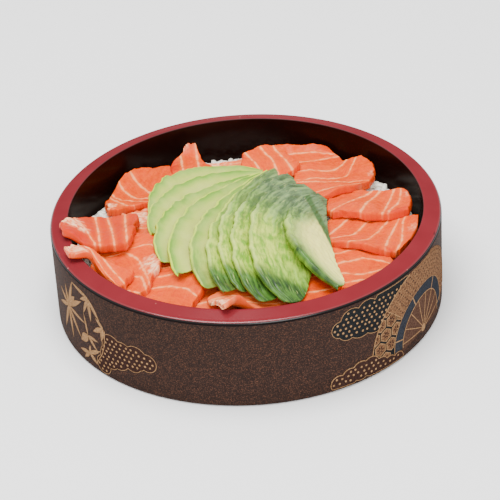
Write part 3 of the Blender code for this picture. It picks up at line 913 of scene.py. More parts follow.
def curve_weights(places, count):
    """How much each of so many evenly spaced knots counts at places from 0 to 1, on the
    smooth cubic curve through them all. Past the ends the curve goes straight on."""
    x = places * (count - 1)
    i = np.clip(np.floor(x).astype(int), 0, count - 2)
    f = x - i
    shares = [(-f + 2 * f**2 - f**3) / 2, (2 - 5 * f**2 + 3 * f**3) / 2,
              (f + 4 * f**2 - 3 * f**3) / 2, (f**3 - f**2) / 2]
    weights = np.zeros((len(places), count + 2))
    rows = np.arange(len(places))
    for k, share in enumerate(shares):
        weights[rows, i + k] += share
    weights[:, 1] += 2 * weights[:, 0]
    weights[:, 2] -= weights[:, 0]
    weights[:, -2] += 2 * weights[:, -1]
    weights[:, -3] -= weights[:, -1]
    return weights[:, 1:-1]


def between_knots(knots, along, beside):
    """A coarse grid of heights, read at places from 0 to 1 along its two sides."""
    row_weights = curve_weights(along.ravel(), knots.shape[0])
    column_weights = curve_weights(beside.ravel(), knots.shape[1])
    return np.einsum("pr,rc,pc->p", row_weights, knots, column_weights).reshape(along.shape)


def gathered(count, share):
    """Places from 0 to 1, of which a share is drawn towards both ends."""
    w = np.linspace(-1, 1, count)
    return 0.5 + 0.5 * ((1 - share) * w + share * w * (1.5 - 0.5 * w * w))


print("corners of one slice:", len(node_corners("salmon_left")))

# %% [markdown]
# ## The salmon
#
# A slice of raw salmon is cut across the muscle, so it shows the fish's layers: bands of
# orange flesh, 5 to 12 mm wide, with a thin pale line of fat between each two. The lines run
# side by side and bend together where the back meets the belly. Each slice keeps its own
# lines as a few places, along and across the slice. A point's layer number grows by one from
# each line to the next, so a line of fat lies wherever it passes a whole number, and the
# fibres between two lines follow both of them.

# %% The slices as they lie
@dataclass
class Slice:
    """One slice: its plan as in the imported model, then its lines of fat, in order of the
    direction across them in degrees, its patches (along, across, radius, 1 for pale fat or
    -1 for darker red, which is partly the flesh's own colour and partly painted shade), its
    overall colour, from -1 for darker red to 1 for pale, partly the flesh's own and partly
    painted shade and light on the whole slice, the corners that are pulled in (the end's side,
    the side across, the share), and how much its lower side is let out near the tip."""
    at: tuple
    heading: float
    length: float
    width: float
    direction: float
    lines: tuple
    patches: tuple = ()
    tone: float = 0.0
    taper: float = 0.1
    slant: float = 0.0
    bow: float = 0.0
    over_rim: bool = False
    cut_corners: tuple = ()
    hem: float = 0.0


SALMON = {
    "back_strip": Slice((-10, 58), 180, 44, 20, 90, (
        ((-10, -5), (10, -4)), ((-10, 3), (10, 5))), ((6, 0, 9, 1),), 0.5),
    "front_inner": Slice((-18, -60), 285, 38, 30, 20, (
        ((-9, -10), (-10, 8)), ((0, -10), (-2, 8)), ((8, -8), (7, 8))), ((-9, -4, 6, 1),), 0.35),
    "left_inner": Slice((-48, -4), 268, 46, 30, 0, (
        ((-16, -8), (-16.5, 3)), ((-9, -8), (-8, 3)), ((-3.5, -8), (-2.5, 3)),
        ((12, -8), (11, 3))), ((-13, -5, 7, 1),), 0.2),
    "front_rim": Slice((0, -74), 194, 42, 26, 90, (
        ((20, -3), (13, -4), (0, -2)), ((19, 2.5), (8, 3))), ((19, 4, 6, 1), (14, 9, 4, 1)),
        tone=0.4, taper=0.15, over_rim=True, hem=0.35),
    "front_right": Slice((33, -64), 288, 42, 36, 25, (
        ((-9, -8), (-10, 8)), ((2, -8), (0, 8)), ((12, -8), (12, 8))), tone=-0.35),
    "front_left": Slice((-36, -58), 254, 42, 33, 0, (
        ((-16, -8), (-16, 8)), ((-8, -13), (-8.5, -4), (-10, 3.5)),
        ((-1, -11.5), (-1, -4), (3, 7.5), (12, 18)), ((9, -12), (11, -4), (13, -1))),
        ((13, -12, 4, 1),), -0.1, slant=0.2),
    "back_low": Slice((33, 64), 97, 28, 40, 0, (
        ((-13, 10), (-10, 2), (-8, -3), (-7, -12)), ((-1, 14), (-1, 6), (1, -6)),
        ((6, 14), (7, 2), (6, -10))), tone=-0.1),
    "back_curl": Slice((-27, 59), 98, 38, 26, 90, (
        ((-12, -4), (12, -6)), ((-12, 4), (14, 2))), ((19, -1, 3, 0.6), (2, 11, 6, -1)),
        -0.3, taper=0.4, cut_corners=((1, 1, 0.4), (1, -1, 0.06))),
    "left_back": Slice((-51, 40), 84, 46, 36, -60, (
        ((-11, 9), (-20, 3), (-26, -6)), ((-6, 10), (-7.5, 5.5), (-13, 0)),
        ((2, 7), (-7.5, 1.5), (-9, -3)), ((9.5, 2), (-1, -4))), ((-14, 14, 3.5, 1),),
        slant=0.15),
    "right_front": Slice((54, -52), 286, 46, 38, 0, (
        ((-15, -6), (-19, 5), (-18.5, 8)), ((-7, -6), (-11, 3.5), (-10, 9.5), (-8, 12)),
        ((2, -9), (2, 0), (-1, 9)), ((9, -8), (7, -1)))),
    "right": Slice((61, -17), 350, 50, 46, 0, (
        ((-17, -1), (-14, 8), (-12, 13)), ((-17, -13), (-9, -10), (-7, -1), (-3, 15)),
        ((-10, -21), (-6, -16), (-2, -14), (2, 1), (5, 13)), ((8, -19), (8, -5), (10, 12)),
        ((14, -18), (15, -9), (13, 11))), ((21, 6, 4, 0.4), (10, -24, 6, -1)), slant=0.25),
    "right_back": Slice((61, 9), 8, 45, 33, -30, (
        ((-17, -7), (-9, 0), (-4, 6)), ((-5, -9), (0, 2), (5, 10)),
        ((6.5, -6.5), (10, 2), (13, 9)), ((9, -8.5), (14, -2), (17, 8))),
        ((21, 4, 3, 0.4), (13, -15, 6, -1)), slant=0.2),
    "back_right": Slice((46, 37), 22, 46, 40, 90, (
        ((-2, -13), (6, -13.5), (11.5, -15)), ((-4.5, -3.5), (2, -6.5), (9.5, -8), (14, -12)),
        ((-18, 4), (-11, 4.5), (-3.5, 0.5), (4, 0), (9.5, 5.5), (13.5, 11)),
        ((-16, 13), (-7.5, 12), (-1, 8.5), (3.5, 9), (11, 15))), ((20, -5, 3, 0.4),),
        slant=0.3, bow=0.08, cut_corners=((1, -1, 0.14),)),
    "back": Slice((12, 54), 104, 38, 30, 90, (
        ((7, -8), (-4, -9), (-13, -9)), ((14.5, -1), (1, -3), (-13, -2)),
        ((5, 7), (-4, 6), (-13, 5)), ((-2.5, 14), (-9, 12))), slant=-0.2,
        cut_corners=((1, 1, 0.14), (1, -1, 0.2), (-1, 1, -0.15))),
    "left_low": Slice((-60, -35), 251, 52, 42, -40, (
        ((-10.9, 0), (-15.5, 6.7), (-13.8, 10.8)), ((-9.7, -2.4), (-5.4, 6), (5, 12.5)),
        ((-1.3, -6), (5, 1.4), (8.4, 9), (9.2, 11)), ((13.6, -5), (18.6, 7.6))),
        ((-1.4, 14.4, 4.5, 1), (4.5, 19, 4, 1))),
    "left_front": Slice((-76, -43), 138, 42, 29, 90, (
        ((7, -11.4), (-4, -8.4), (-16, -3.4)), ((12, -9.4), (-1, -5), (-14, 2.6)),
        ((14, -2.4), (0, 1.6), (-12, 7.6))), ((19, -6, 8, 1), (12, 1, 6, 1), (4, 5, 3, 1)), 0.1,
        taper=0.45, over_rim=True, hem=0.25),
    "left": Slice((-72, -8), 171, 40, 42, 0, (
        ((-11, -17), (-13, -5), (-17, 14)), ((-4, -10), (-8, 3), (-12, 20)),
        ((2, -9), (-1, 2), (-5, 21)), ((16, -10), (7.5, -1), (1, 10), (-2, 16))),
        ((19, -5, 5, 1), (15, -3, 4.5, 1), (10.5, 0.5, 3.5, 1), (6, 4, 2.5, 1), (9, 12, 6, -1)),
        -0.8, taper=0.65, over_rim=True, cut_corners=((1, -1, 0.2),), hem=0.4),
}
print("salmon slices:", len(SALMON))

# %% Plan of a slice
SALMON_GRID = (9, 6)
SALMON_FINE = (96, 80)
CORNER = 0.24
SALMON_WAVE = 0.05
WALL_REACH = 83.9
RIM_REACH = 92.5
WALL_SOFTNESS = 2.5
TIP_START, TIP_END = 0.3, 0.8
SALMON_UNDERCUT = 0.3
LAYER, LAYER_LEAST = 9.0, 2.5
LINE_PAST = 40.0
LINE_SOFTNESS = (-3, -1.5, 0, 1.5, 3)


def kept_within(x, y, reach):
    """Places pressed inwards so that none is further out than the reach: the distance from
    the middle becomes a smooth minimum of itself and the reach."""
    radius = np.maximum(np.hypot(x, y), 1e-6)
    pressed = reach - WALL_SOFTNESS * np.logaddexp(0, (reach - radius) / WALL_SOFTNESS)
    factor = np.where(radius > reach - 8 * WALL_SOFTNESS, pressed / radius, 1.0)
    return x * factor, y * factor


def salmon_plan(piece, s, t, ragged=0.0):
    """Where a slice's points lie, seen from above, with s along and t across it from -1 to 1:
    a square with pressed-in corners, stretched, narrowed to its outer end, slanted, bowed
    and turned. Ragged pulls parts of the edge in. Also returns the lengths along and across
    it in millimetres."""
    along = 0.5 * piece.length * s * np.sqrt(1 - CORNER * t * t)
    narrow = 1 - piece.taper * 0.5 * (1 + s)
    across = 0.5 * piece.width * t * np.sqrt(1 - CORNER * s * s) * narrow
    across = across * (1 + SALMON_WAVE * np.sin(math.pi * s + piece.heading))
    along, across = along * (1 - ragged), across * (1 - ragged)
    along = along + piece.slant * across
    across = across + piece.bow * along * along / piece.length
    angle = math.radians(piece.heading)
    x = piece.at[0] + along * math.cos(angle) - across * math.sin(angle)
    y = piece.at[1] + along * math.sin(angle) + across * math.cos(angle)
    tip = smooth_step(TIP_START, TIP_END, s)
    x, y = kept_within(x, y, WALL_REACH + (RIM_REACH - WALL_REACH) * tip * piece.over_rim)
    return x, y, along, across


def layer_number(piece, along, across):
    """The layer that a point is in, counted across the lines of fat, the layer's width there,
    and how far along the lines the point lies. Each line is a softened curve through its
    places, goes straight on past them and keeps the least distance from the one before it.
    Outside the first and the last line, all layers have the same width."""
    angle = math.radians(piece.direction)
    over = along * math.cos(angle) + across * math.sin(angle)
    run = across * math.cos(angle) - along * math.sin(angle)
    curves = []
    for line in piece.lines:
        line = np.array(line, float)
        place = line[:, 0] * math.cos(angle) + line[:, 1] * math.sin(angle)
        length = line[:, 1] * math.cos(angle) - line[:, 0] * math.sin(angle)
        place, length = place[np.argsort(length)], np.sort(length)
        slopes = np.clip(np.diff(place) / np.maximum(np.diff(length), 0.5), -1, 1)
        place = [place[0] - LINE_PAST * slopes[0], *place, place[-1] + LINE_PAST * slopes[-1]]
        length = [length[0] - LINE_PAST, *length, length[-1] + LINE_PAST]
        curve = np.mean([np.interp(run + shift, length, place) for shift in LINE_SOFTNESS], axis=0)
        curves.append(np.maximum(curve, curves[-1] + LAYER_LEAST) if curves else curve)
    layer = np.minimum(over - curves[0], 0) / LAYER + np.maximum(over - curves[-1], 0) / LAYER
    width = np.full_like(over, LAYER)
    for low, high in zip(curves, curves[1:]):
        layer = layer + np.clip((over - low) / (high - low), 0, 1)
        width = np.where((over > low) & (over < high), high - low, width)
    return layer, width, run


def to_nearer_end(x, y, axis):
    """How far each place of a grid is from the nearer end of its row or column, measured
    along the grid."""
    steps = np.hypot(np.diff(x, axis=axis), np.diff(y, axis=axis))
    start = np.insert(np.cumsum(steps, axis=axis), 0, 0, axis=axis)
    return np.minimum(start, np.max(start, axis=axis, keepdims=True) - start)


tip_x, tip_y, _, _ = salmon_plan(SALMON["left"], np.array([1.0]), np.array([0.0]))
print("the tip of the left slice is", round(float(np.hypot(tip_x, tip_y)[0]), 1), "mm from the middle")

# %% [markdown]
# The knife leaves a flat top with the layers just standing out, and a steep side of deeper
# orange, since no line of fat is seen lengthways there, with painted shade added along the
# edges in the same deeper orange. Thin ends are torn and pale.

# %% Surface of a slice
EDGE_ROUND, EDGE_HEIGHT = 1.1, 0.35
SIDE_FROM, SIDE_TO = 0.9, 0.2
TEAR_SCALE = 14
TEAR_SIZES = (6.0, 2.2, 19.0)
TEAR_DEPTH, FAT_TEAR, WIDE_TEAR = 0.05, 0.075, 0.09
RIDGE_WIDTH, RIDGE_HEIGHT, SWELL_HEIGHT = 0.8, 0.14, 0.16
LAYER_UV = 7.0


def salmon_surface(name, piece, seed):
    """A slice's underside and top as fine grids, with what its material reads. The edge is
    torn a little, and its corners and its lower side are pulled in or let out as the slice
    says. The top lies a thickness above the underside, less a quarter ellipse near the edge,
    and small waves and the lines of fat stand out from it."""
    coarse_s, coarse_t = np.meshgrid(*[np.linspace(-1, 1, n) for n in SALMON_GRID], indexing="ij")
    x, y, _, _ = salmon_plan(piece, coarse_s, coarse_t)
    low, high = found_heights(node_corners(f"salmon_{name}"), x, y)
    thickness = float(np.median((high - low)[1:-1, 1:-1]))
    edge = np.maximum(np.abs(coarse_s), np.abs(coarse_t)) > 0.999
    low = low - SALMON_UNDERCUT * edge

    rows, columns = [gathered(n, 0.45) for n in SALMON_FINE]
    s, t = np.meshgrid(2 * rows - 1, 2 * columns - 1, indexing="ij")
    near_edge = np.maximum(np.abs(s), np.abs(t)) ** 6
    tears = [ripples(s * TEAR_SCALE, t * TEAR_SCALE, size, seed + shift)
             for size, shift in zip(TEAR_SIZES, (0, 1, 6))]
    torn = np.clip(tears[0], -0.2, 1) * 0.6 + np.clip(tears[1], 0, 1) * 0.4
    _, _, along, across = salmon_plan(piece, s, t)
    marks = np.zeros_like(s)
    for place, beside, radius, kind in piece.patches:
        far = np.hypot(along - place, across - beside) / radius
        marks += kind * smooth_step(1.5, 0.4, far + 0.3 * ripples(along, across, 3.0, seed + 5))
    # patches of -1 are darker red, partly the flesh's own colour and partly painted shade
    fat, deep = np.clip(marks, 0, 1), np.clip(-marks, 0, 1)
    ragged = near_edge * np.clip(torn, 0, 1) * (TEAR_DEPTH + FAT_TEAR * fat)
    ragged += near_edge * WIDE_TEAR * np.clip(tears[2], 0, 1)
    for end, beside, amount in piece.cut_corners:
        ragged += amount * smooth_step(0.1, 1, s * end) * smooth_step(-0.7, 1, t * beside)
    near_tip = smooth_step(-0.2, 0.3, s) * smooth_step(0.95, 0.6, s)
    ragged -= piece.hem * near_tip * smooth_step(0.1, 1, t)
    x, y, along, across = salmon_plan(piece, s, t, ragged)
    layer, width, run = layer_number(piece, along, across)
    kept = 0.5 * (1 - ragged)
    under = between_knots(low, 0.5 + kept * s, 0.5 + kept * t)

    from_edge = np.minimum(to_nearer_end(x, y, 0), to_nearer_end(x, y, 1))
    inwards = np.clip(from_edge / EDGE_ROUND, 0, 1)
    rounding = EDGE_HEIGHT + (1 - EDGE_HEIGHT) * np.sqrt(1 - (1 - inwards) ** 2)
    ridge = RIDGE_HEIGHT * np.exp(-(np.abs(layer - np.round(layer)) * width / RIDGE_WIDTH) ** 2)
    waves = 0.25 * ripples(x, y, 10.0, seed + 2) + 0.12 * ripples(x, y, 3.6, seed + 3)
    relief = waves + ridge - SWELL_HEIGHT * np.cos(math.tau * layer) - 0.3 * fat * torn
    thickness = thickness * (1 - 0.5 * smooth_step(0.2, 1.0, s) * piece.over_rim)
    top = under + thickness * rounding + inwards * relief
    bottom = under + SALMON_UNDERCUT * (1 - inwards)
    count = len(piece.lines)
    drawn = smooth_step(-0.75, -0.4, layer) * smooth_step(count - 0.25, count - 0.6, layer)
    values = {"layer": layer, "gap": width, "drawn": drawn, "fat": fat, "deep": deep,
              "side": smooth_step(SIDE_FROM, SIDE_TO, from_edge),
              "tone": np.full_like(s, piece.tone)}
    lower, upper = np.stack([x, y, bottom], axis=-1), np.stack([x, y, top], axis=-1)
    return lower, upper, values, np.stack([layer * LAYER_UV, run], axis=-1)


print("points of one slice:", 2 * SALMON_FINE[0] * SALMON_FINE[1])

# %% [markdown]
# Raw salmon is moist and a little see-through, so it has a soft gloss and light spreads in
# it. The flesh has fibres along the layers, which the noise follows because it is stretched
# along the surface's own second number.

# %% Salmon finish
def salmon_look():
    """Orange flesh, streaked along its layers, with pale lines between them."""
    look = Look("raw_salmon", specular_ior_level=0.1, coat_weight=0.07, coat_roughness=0.22,
                subsurface_weight=0.08, subsurface_scale=0.003, subsurface_radius=(1.0, 0.2, 0.05))
    layer, gap, drawn = look.value("layer"), look.value("gap"), look.value("drawn")
    fat, deep, side, tone = [look.value(name) for name in ("fat", "deep", "side", "tone")]
    surface, place = look.surface(), look.place()
    streak = look.noise(look.stretch(surface, (1.3, 0.3, 0.0)), 1.0, detail=4.0, roughness=0.65)
    fibres = look.noise(look.stretch(surface, (0.35, 2.2, 0.0)), 1.0, detail=3.0, seed=21.0)
    blotch = look.noise(place, 90.0, detail=3.0, seed=4.0)
    wander = look.noise(look.stretch(surface, (0.1, 0.16, 0.0)), 1.0, detail=3.0, seed=7.0) - 0.5
    to_line = abs(abs((layer + 0.5).fraction() - 0.5) * gap + wander * 0.5)
    breaks = look.noise(place, 300.0, detail=4.0, roughness=0.6, seed=11.0)
    half_width = breaks * 1.1 - 0.14
    line_share = (to_line - half_width).step(0.45, -0.35) * breaks.step(0.32, 0.55, 0.3, 1.0)
    line_share = line_share * drawn
    shreds = look.noise(look.stretch(surface, (0.9, 0.5, 0.0)), 1.0, detail=4.0, seed=15.0)
    pale = look.mix(shreds.step(0.38, 0.62), (240, 122, 70), (254, 198, 152))
    # the sides' deeper orange, which is also painted shade along the edges
    cut = look.mix(streak, (204, 42, 0), (226, 78, 8))
    flesh = look.layered(
        look.mix(streak.step(0.3, 0.7), (206, 57, 0), (228, 78, 2)),
        (fibres.step(0.45, 0.75, 0.0, 0.4), (236, 106, 20)),
        (blotch.step(0.45, 0.8, 0.0, 0.4), (232, 92, 8)),
        (blotch.step(0.45, 0.2, 0.0, 0.4), (196, 46, 0)),
        # partly painted shade and light: these darken some whole slices and lighten others, besides the
        # flesh's own differences in colour
        (tone.step(0.0, -1.0, 0.0, 0.75), (186, 38, 0)),
        (tone.step(0.0, 1.0, 0.0, 0.7), (246, 150, 100)),
        (to_line.step(2.6, 0.0) * 0.5 * drawn, (236, 104, 24)),
        (line_share * 0.85, (252, 164, 108)),
        (fat * shreds.step(0.2, 0.5, 0.55, 1.0), pale),
        # darker red patches, partly the flesh's own colour and partly painted shade
        (deep * 0.9, (196, 34, 2)),
        # deeper orange on the steep sides: the cut flesh, with painted shade along the edges
        (side * (1.0 - fat * 0.9) * 0.6, cut))
    rough = streak * 0.14 + 0.34 + fat * 0.1
    height = streak * 0.5 + shreds * 0.3 + line_share * 0.4
    look.finish(base_color=flesh, roughness=rough, normal=look.bump(height, 0.0003, 0.45))
    return look


salmon = salmon_look()
for seed, (name, piece) in enumerate(SALMON.items(), start=20):
    plate = salmon_surface(name, piece, seed * 10)
    slice_piece = put_plate(f"salmon_slice_{name}", plate, salmon)
    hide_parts(f"salmon_{name}")

# %% [markdown]
# ## The avocado
#
# Half an avocado is peeled, laid on its flat side, sliced across and pushed over, so that
# the slices fan out and lean on each other. A slice is a crescent. Its cut face is pale, and
# turns green towards the outside, where the peel was. The slices on the left lie low and
# show their faces. Those on the right stand up more and show the outside, which the spoon
# left ridged and grey-green. The last one turns its creamy hollow to the right. The back
# ends of the last three lie in one straight cut.

# %% The fan as it lies
@dataclass
class FanSlice:
    """One avocado slice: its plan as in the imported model, then how green its face is, from 0
    for a pale cut face to 1 for the ridged outside."""
    back: tuple
    tip: tuple
    bulge: float
    depth: float
    lean: float
    green: float
    thickness: float = 2.8
    fullest: float = 1.3
    roundness: float = 0.6


FAN = [
    FanSlice((10, 43), (-45, 1), 24.5, 8, 10, 0.0, 2.6, 1.15),
    FanSlice((9, 39), (-45, -19), 21, 10, 12, 0.0, 2.6, 1.15),
    FanSlice((10, 36), (-41, -41), 19, 12, 14, 0.0),
    FanSlice((10, 34), (-33, -57), 18.5, 13, 16, 0.05, fullest=1.35),
    FanSlice((11, 32), (-21, -68), 17, 13, 19, 0.12, fullest=1.4),
    FanSlice((12, 31), (-12, -74), 16.5, 13, 22, 0.35, fullest=1.4),
    FanSlice((16, 31), (-4, -74), 19, 12, 25, 0.65),
    FanSlice((24, 29), (6, -79), 23, 11, 27, 0.85, roundness=0.5),
    FanSlice((34, 20), (19, -79), 28, 8, 29, 1.0, 3.0, 1.2, 0.4),
    FanSlice((41, 6), (46, -67), 30, -6, 30, 0.9, 4.0, 1.2, 0.4),
]
FAN_GRID = (13, 5)
FAN_FINE = (150, 44)
FAN_BACK_HEIGHT = 48.0
FAN_TIP_HEIGHT = 45.0
FAN_BLUNT = 0.015
FAN_INNER = 0.55
FAN_ENDS = 0.3


def fan_plan(piece, u, v, ends=1.0):
    """A slice before it is laid: a plate between a line from its back end to its tip and the
    peel side, which bulges to the left after a power of a sine, narrowed by a factor towards
    its ends. It leans up to the left and is thickest along the peel. Returns its underside,
    its thickness, the way out of its face and its width."""
    back, tip = np.array([*piece.back, FAN_BACK_HEIGHT]), np.array([*piece.tip, FAN_TIP_HEIGHT])
    ahead = (tip - back) * (1, 1, 0)
    ahead /= np.linalg.norm(ahead)
    left = np.array([ahead[1], -ahead[0], 0.0])
    lean = math.radians(piece.lean)
    upright = np.array([0, 0, 1.0])
    rising = math.cos(lean) * left + math.sin(lean) * upright
    outward = math.cos(lean) * upright - math.sin(lean) * left
    full = np.sin(math.pi * np.clip(u, FAN_BLUNT, 1 - FAN_BLUNT) ** piece.fullest) ** piece.roundness
    middle = 0.5 * (piece.bulge - piece.depth)
    across = full * (middle + ends * (v - 0.5) * (piece.bulge + piece.depth))
    lower = back + u[..., None] * (tip - back) + across[..., None] * rising
    wedge = FAN_INNER + (1 - FAN_INNER) * v
    thickness = piece.thickness * wedge * (FAN_ENDS + (1 - FAN_ENDS) * full)
    return lower, thickness, outward, full * ends * (piece.bulge + piece.depth)


def fan_rise(name, piece):
    """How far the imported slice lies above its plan, at each coarse place."""
    u, v = np.meshgrid(*[np.linspace(0, 1, n) for n in FAN_GRID], indexing="ij")
    lower, _, _, _ = fan_plan(piece, u, v)
    low, _ = found_heights(node_corners(name), lower[..., 0], lower[..., 1])
    return low - lower[..., 2]


print("avocado slices:", len(FAN))

# %% Surface of an avocado slice
PEEL_ROUND = 1.1
PEEL_FALL = 0.35
END_ROUND = 0.05
UV_LENGTH = 100
CUT_FROM, CUT_TO = np.array([20.9, 17.1, 60.0]), np.array([41.4, -11.9, 60.0])
CUT_SLICES = (8, 9, 10)
CUT_REACH = 0.28
CUT_MOST = 7.0
BROAD_TIP = 0.12
TIP_ROUND = 0.1
TIP_LONGER = 2.5


def to_cut(piece, ends):
    """How far each place of a slice's back end is from the straight cut, measured along the
    slice, and the direction along it. The cut is the plane through two places and the
    camera's line of sight."""
    away = np.array([*piece.tip, 0.0]) - np.array([*piece.back, 0.0])
    away /= np.linalg.norm(away)
    flat_across = np.cross(CUT_TO - CUT_FROM, np.array(ahead))
    shift = (CUT_FROM - ends) @ flat_across / (away @ flat_across)
    return np.clip(shift, -CUT_MOST, CUT_MOST), away


def avocado_surface(number, piece):
    """A slice's underside and top as fine grids. Its ends are rounded as a quarter ellipse,
    its peel side wavers and comes down a little, and low ridges run along it on the green
    slices. The last slices have broader and longer tips, and their back ends are moved to
    the straight cut, by less and less further along the slice."""
    rise = fan_rise(f"avocado_slice_{number:02d}", piece)
    rows, columns = gathered(FAN_FINE[0], 0.5), gathered(FAN_FINE[1], 0.6)
    u, v = np.meshgrid(rows, columns, indexing="ij")
    last_ones = number in CUT_SLICES
    end_round = np.where(last_ones & (u > 0.5), TIP_ROUND, END_ROUND)
    past = np.clip((np.abs(2 * u - 1) - 1 + end_round) / end_round, 0, 1)
    along = u * UV_LENGTH
    waver = 0.022 * ripples(along, 0 * u, 12.0, number + 7) + 0.009 * ripples(along, 0 * u, 4.5, number)
    closing = np.sqrt(1.002 - past ** 2)
    straight = last_ones & (u < 0.5)
    broad = 1 + BROAD_TIP * last_ones * smooth_step(0.8, 0.96, u)
    ends = np.where(straight, 1.0, closing) * broad
    lower, thickness, outward, width = fan_plan(piece, u, v * (1 + waver), ends)
    thickness = thickness * (0.3 + 0.7 * closing)
    lower[..., 2] += between_knots(rise, u, v)
    from_peel = (1 - v) * width
    corner = 1 - np.clip(from_peel / PEEL_ROUND, 0, 1)
    rounding = 1 - PEEL_FALL * corner ** 2
    x, y = lower[..., 0], lower[..., 1]
    ridges = ripples(from_peel, u * 12, 1.7, number)
    ridges += 0.6 * ripples(from_peel, u * 60, 3.0, number + 50)
    waves = 0.2 * ripples(x, y, 9.0, number + 90) + piece.green * 0.2 * ridges
    inside = np.clip(np.minimum(u, 1 - u) * 40, 0, 1)
    upper = lower + (thickness * rounding + waves * inside * (1 - corner))[..., None] * outward
    if last_ones:
        shift, away = to_cut(piece, upper[0])
        shift = shift * np.clip(1 - u / CUT_REACH, 0, 1) ** 2 + TIP_LONGER * smooth_step(0.9, 1, u)
        lower, upper = lower + shift[..., None] * away, upper + shift[..., None] * away
    values = {"from_peel": from_peel, "reach": u, "side": 0 * u,
              "green": np.full_like(u, piece.green), "last": np.full_like(u, number == len(FAN))}
    return lower, upper, values, np.stack([along, from_peel], axis=-1)


print("points of one slice:", 2 * FAN_FINE[0] * FAN_FINE[1])

# %% [markdown]
# Under the peel the flesh is green, and what is left of the peel's inside is darker there in
# spots. So the outside is a mottling of greens, with painted shade and painted highlights on
# the folds along the back of each slice, and painted highlights in pale streaks. It turns dull
# where the fan is highest, bright yellow-green low in the middle, and dark at the tips of the
# slices. On the last slice, the cream of the hollow shows between the green that is left at
# its lower side and the dark edge at its right.

# %% Avocado finish
DULL_AT, DULL_WIDE = (0.034, 0.012, 0.0), (0.05, 0.016)
BRIGHT_AT, BRIGHT_WIDE = (0.0, -0.044, 0.0), (0.034, 0.012)
HOLLOW_EDGE = (968.0, 250.0, 0.0)
HOLLOW_EDGE_AT = 28.3


def avocado_look():
    """Pale flesh that turns green near the peel side, and the mottled green outside. The edge
    of the last slice's hollow is a straight line: there, a place's numbers times those of
    HOLLOW_EDGE add up to HOLLOW_EDGE_AT millimetres."""
    look = Look("avocado_flesh", specular_ior_level=0.3, coat_weight=0.12, coat_roughness=0.3,
                subsurface_weight=0.06, subsurface_scale=0.003, subsurface_radius=(0.8, 1.0, 0.2))
    depth, reach = look.value("from_peel"), look.value("reach")
    side, green, last = look.value("side"), look.value("green"), look.value("last")
    surface, place = look.surface(), look.place()
    flat = look.stretch(place, (1.0, 1.0, 0.0))
    soft = look.noise(place, 90.0, detail=3.0)
    fine = look.noise(look.stretch(surface, (0.16, 0.6, 0.0)), 1.0, detail=2.5, roughness=0.6, seed=3.0)
    blots = look.noise(place, 150.0, detail=3.0, roughness=0.6, seed=8.0)
    wavy = depth + (fine - 0.5) * 1.6
    face = look.add("ShaderNodeValToRGB", {"stops": [
        (0.0, (190, 214, 44)), (0.045, (184, 208, 40)), (0.1, (92, 140, 30)),
        (0.24, (126, 166, 48)), (0.5, (170, 186, 70)), (1.0, (188, 194, 90))]},
        {"Fac": wavy / 12.0})
    face = look.mix(soft.step(0.35, 0.7, 0.0, 0.3), face, (194, 198, 106))
    streaks = (fine * 0.5 + blots * 0.5).step(0.38, 0.62)
    dull = look.mix(streaks, (66, 88, 56), (108, 134, 84))
    middle = look.mix(streaks, (78, 118, 38), (146, 184, 62))
    bright = look.mix(streaks, (112, 160, 30), (190, 208, 74))
    dark = look.mix(streaks, (28, 54, 18), (72, 112, 38))
    dull_share = look.near(flat, DULL_AT, *DULL_WIDE)
    fold_shading = look.noise(look.stretch(surface, (0.035, 0.3, 0.0)), 1.0, detail=1.5, seed=41.0)
    highlight_streak = look.noise(look.stretch(surface, (0.2, 0.9, 0.0)), 1.0, detail=3.0, seed=31.0)
    at_back = reach.step(0.7, 0.45)
    outside = look.layered(
        middle,
        (look.near(flat, BRIGHT_AT, *BRIGHT_WIDE), bright),
        (dull_share, dull),
        # painted shade and painted highlight on the folds along the back of each slice
        (fold_shading.step(0.47, 0.4, 0.0, 0.6) * at_back, (48, 76, 34)),
        (fold_shading.step(0.55, 0.62, 0.0, 0.4) * at_back, (154, 182, 108)),
        (depth.step(1.9, 0.6) * reach.step(0.3, 0.55) * 0.5, (192, 206, 100)),
        ((reach + (blots - 0.5) * 0.1).step(0.84, 0.92), dark),
        # painted highlights: pale streaks on the moist outside
        (highlight_streak.step(0.63, 0.74, 0.0, 0.6), (196, 208, 120)),
        (last * depth.step(6.5, 3.5) * reach.step(0.5, 0.8), dark))
    at_tip = reach.step(0.55, 0.88) * green.step(0.02, 0.14) * 0.4
    share = (green * depth.step(11.0, 2.0, 0.75, 1.0) + at_tip + (blots - 0.5) * 0.5).step(0.25, 0.75)
    cream = look.mix(soft, (216, 212, 100), (242, 232, 136))
    across_face = last * (depth + soft * 5.0 - dull_share * 16.0 - reach.step(0.6, 1.0) * 3.0)
    past_hollow = look.add("ShaderNodeVectorMath", {"operation": "DOT_PRODUCT"},
                           {0: place, 1: HOLLOW_EDGE}, out="Value") - HOLLOW_EDGE_AT
    beyond = look.mix(past_hollow.step(2.4, 4.2), (58, 92, 36), dull)
    flank = look.mix(streaks, (84, 124, 36), (150, 186, 60))
    colour = look.layered(
        face,
        (share, outside),
        (across_face.step(1.5, 8.5, 0.0, 0.85), (158, 178, 92)),
        (across_face.step(4.0, 15.0), cream),
        (last * past_hollow.step(-0.6, 0.6), beyond),
        (side * 0.85, flank))
    rough = fine * 0.15 + 0.38
    look.finish(base_color=colour, roughness=rough,
                normal=look.bump(fine * green + blots * 0.5, 0.0005, 0.5))
    return look


avocado = avocado_look()
for number, piece in enumerate(FAN, start=1):
    plate = avocado_surface(number, piece)
    fan_piece = put_plate(f"avocado_fan_{number:02d}", plate, avocado)
    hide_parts(f"avocado_slice_{number:02d}")

# %% [markdown]
# ## The rice
#
# The rice fills the tub in a low mound, and shows only in the gaps between the slices. The
# mound itself is a smooth core, and single grains lie on it, 6 to 7 mm long, wherever there
# is room under what lies above. A ray sent straight up from each place measures that room.

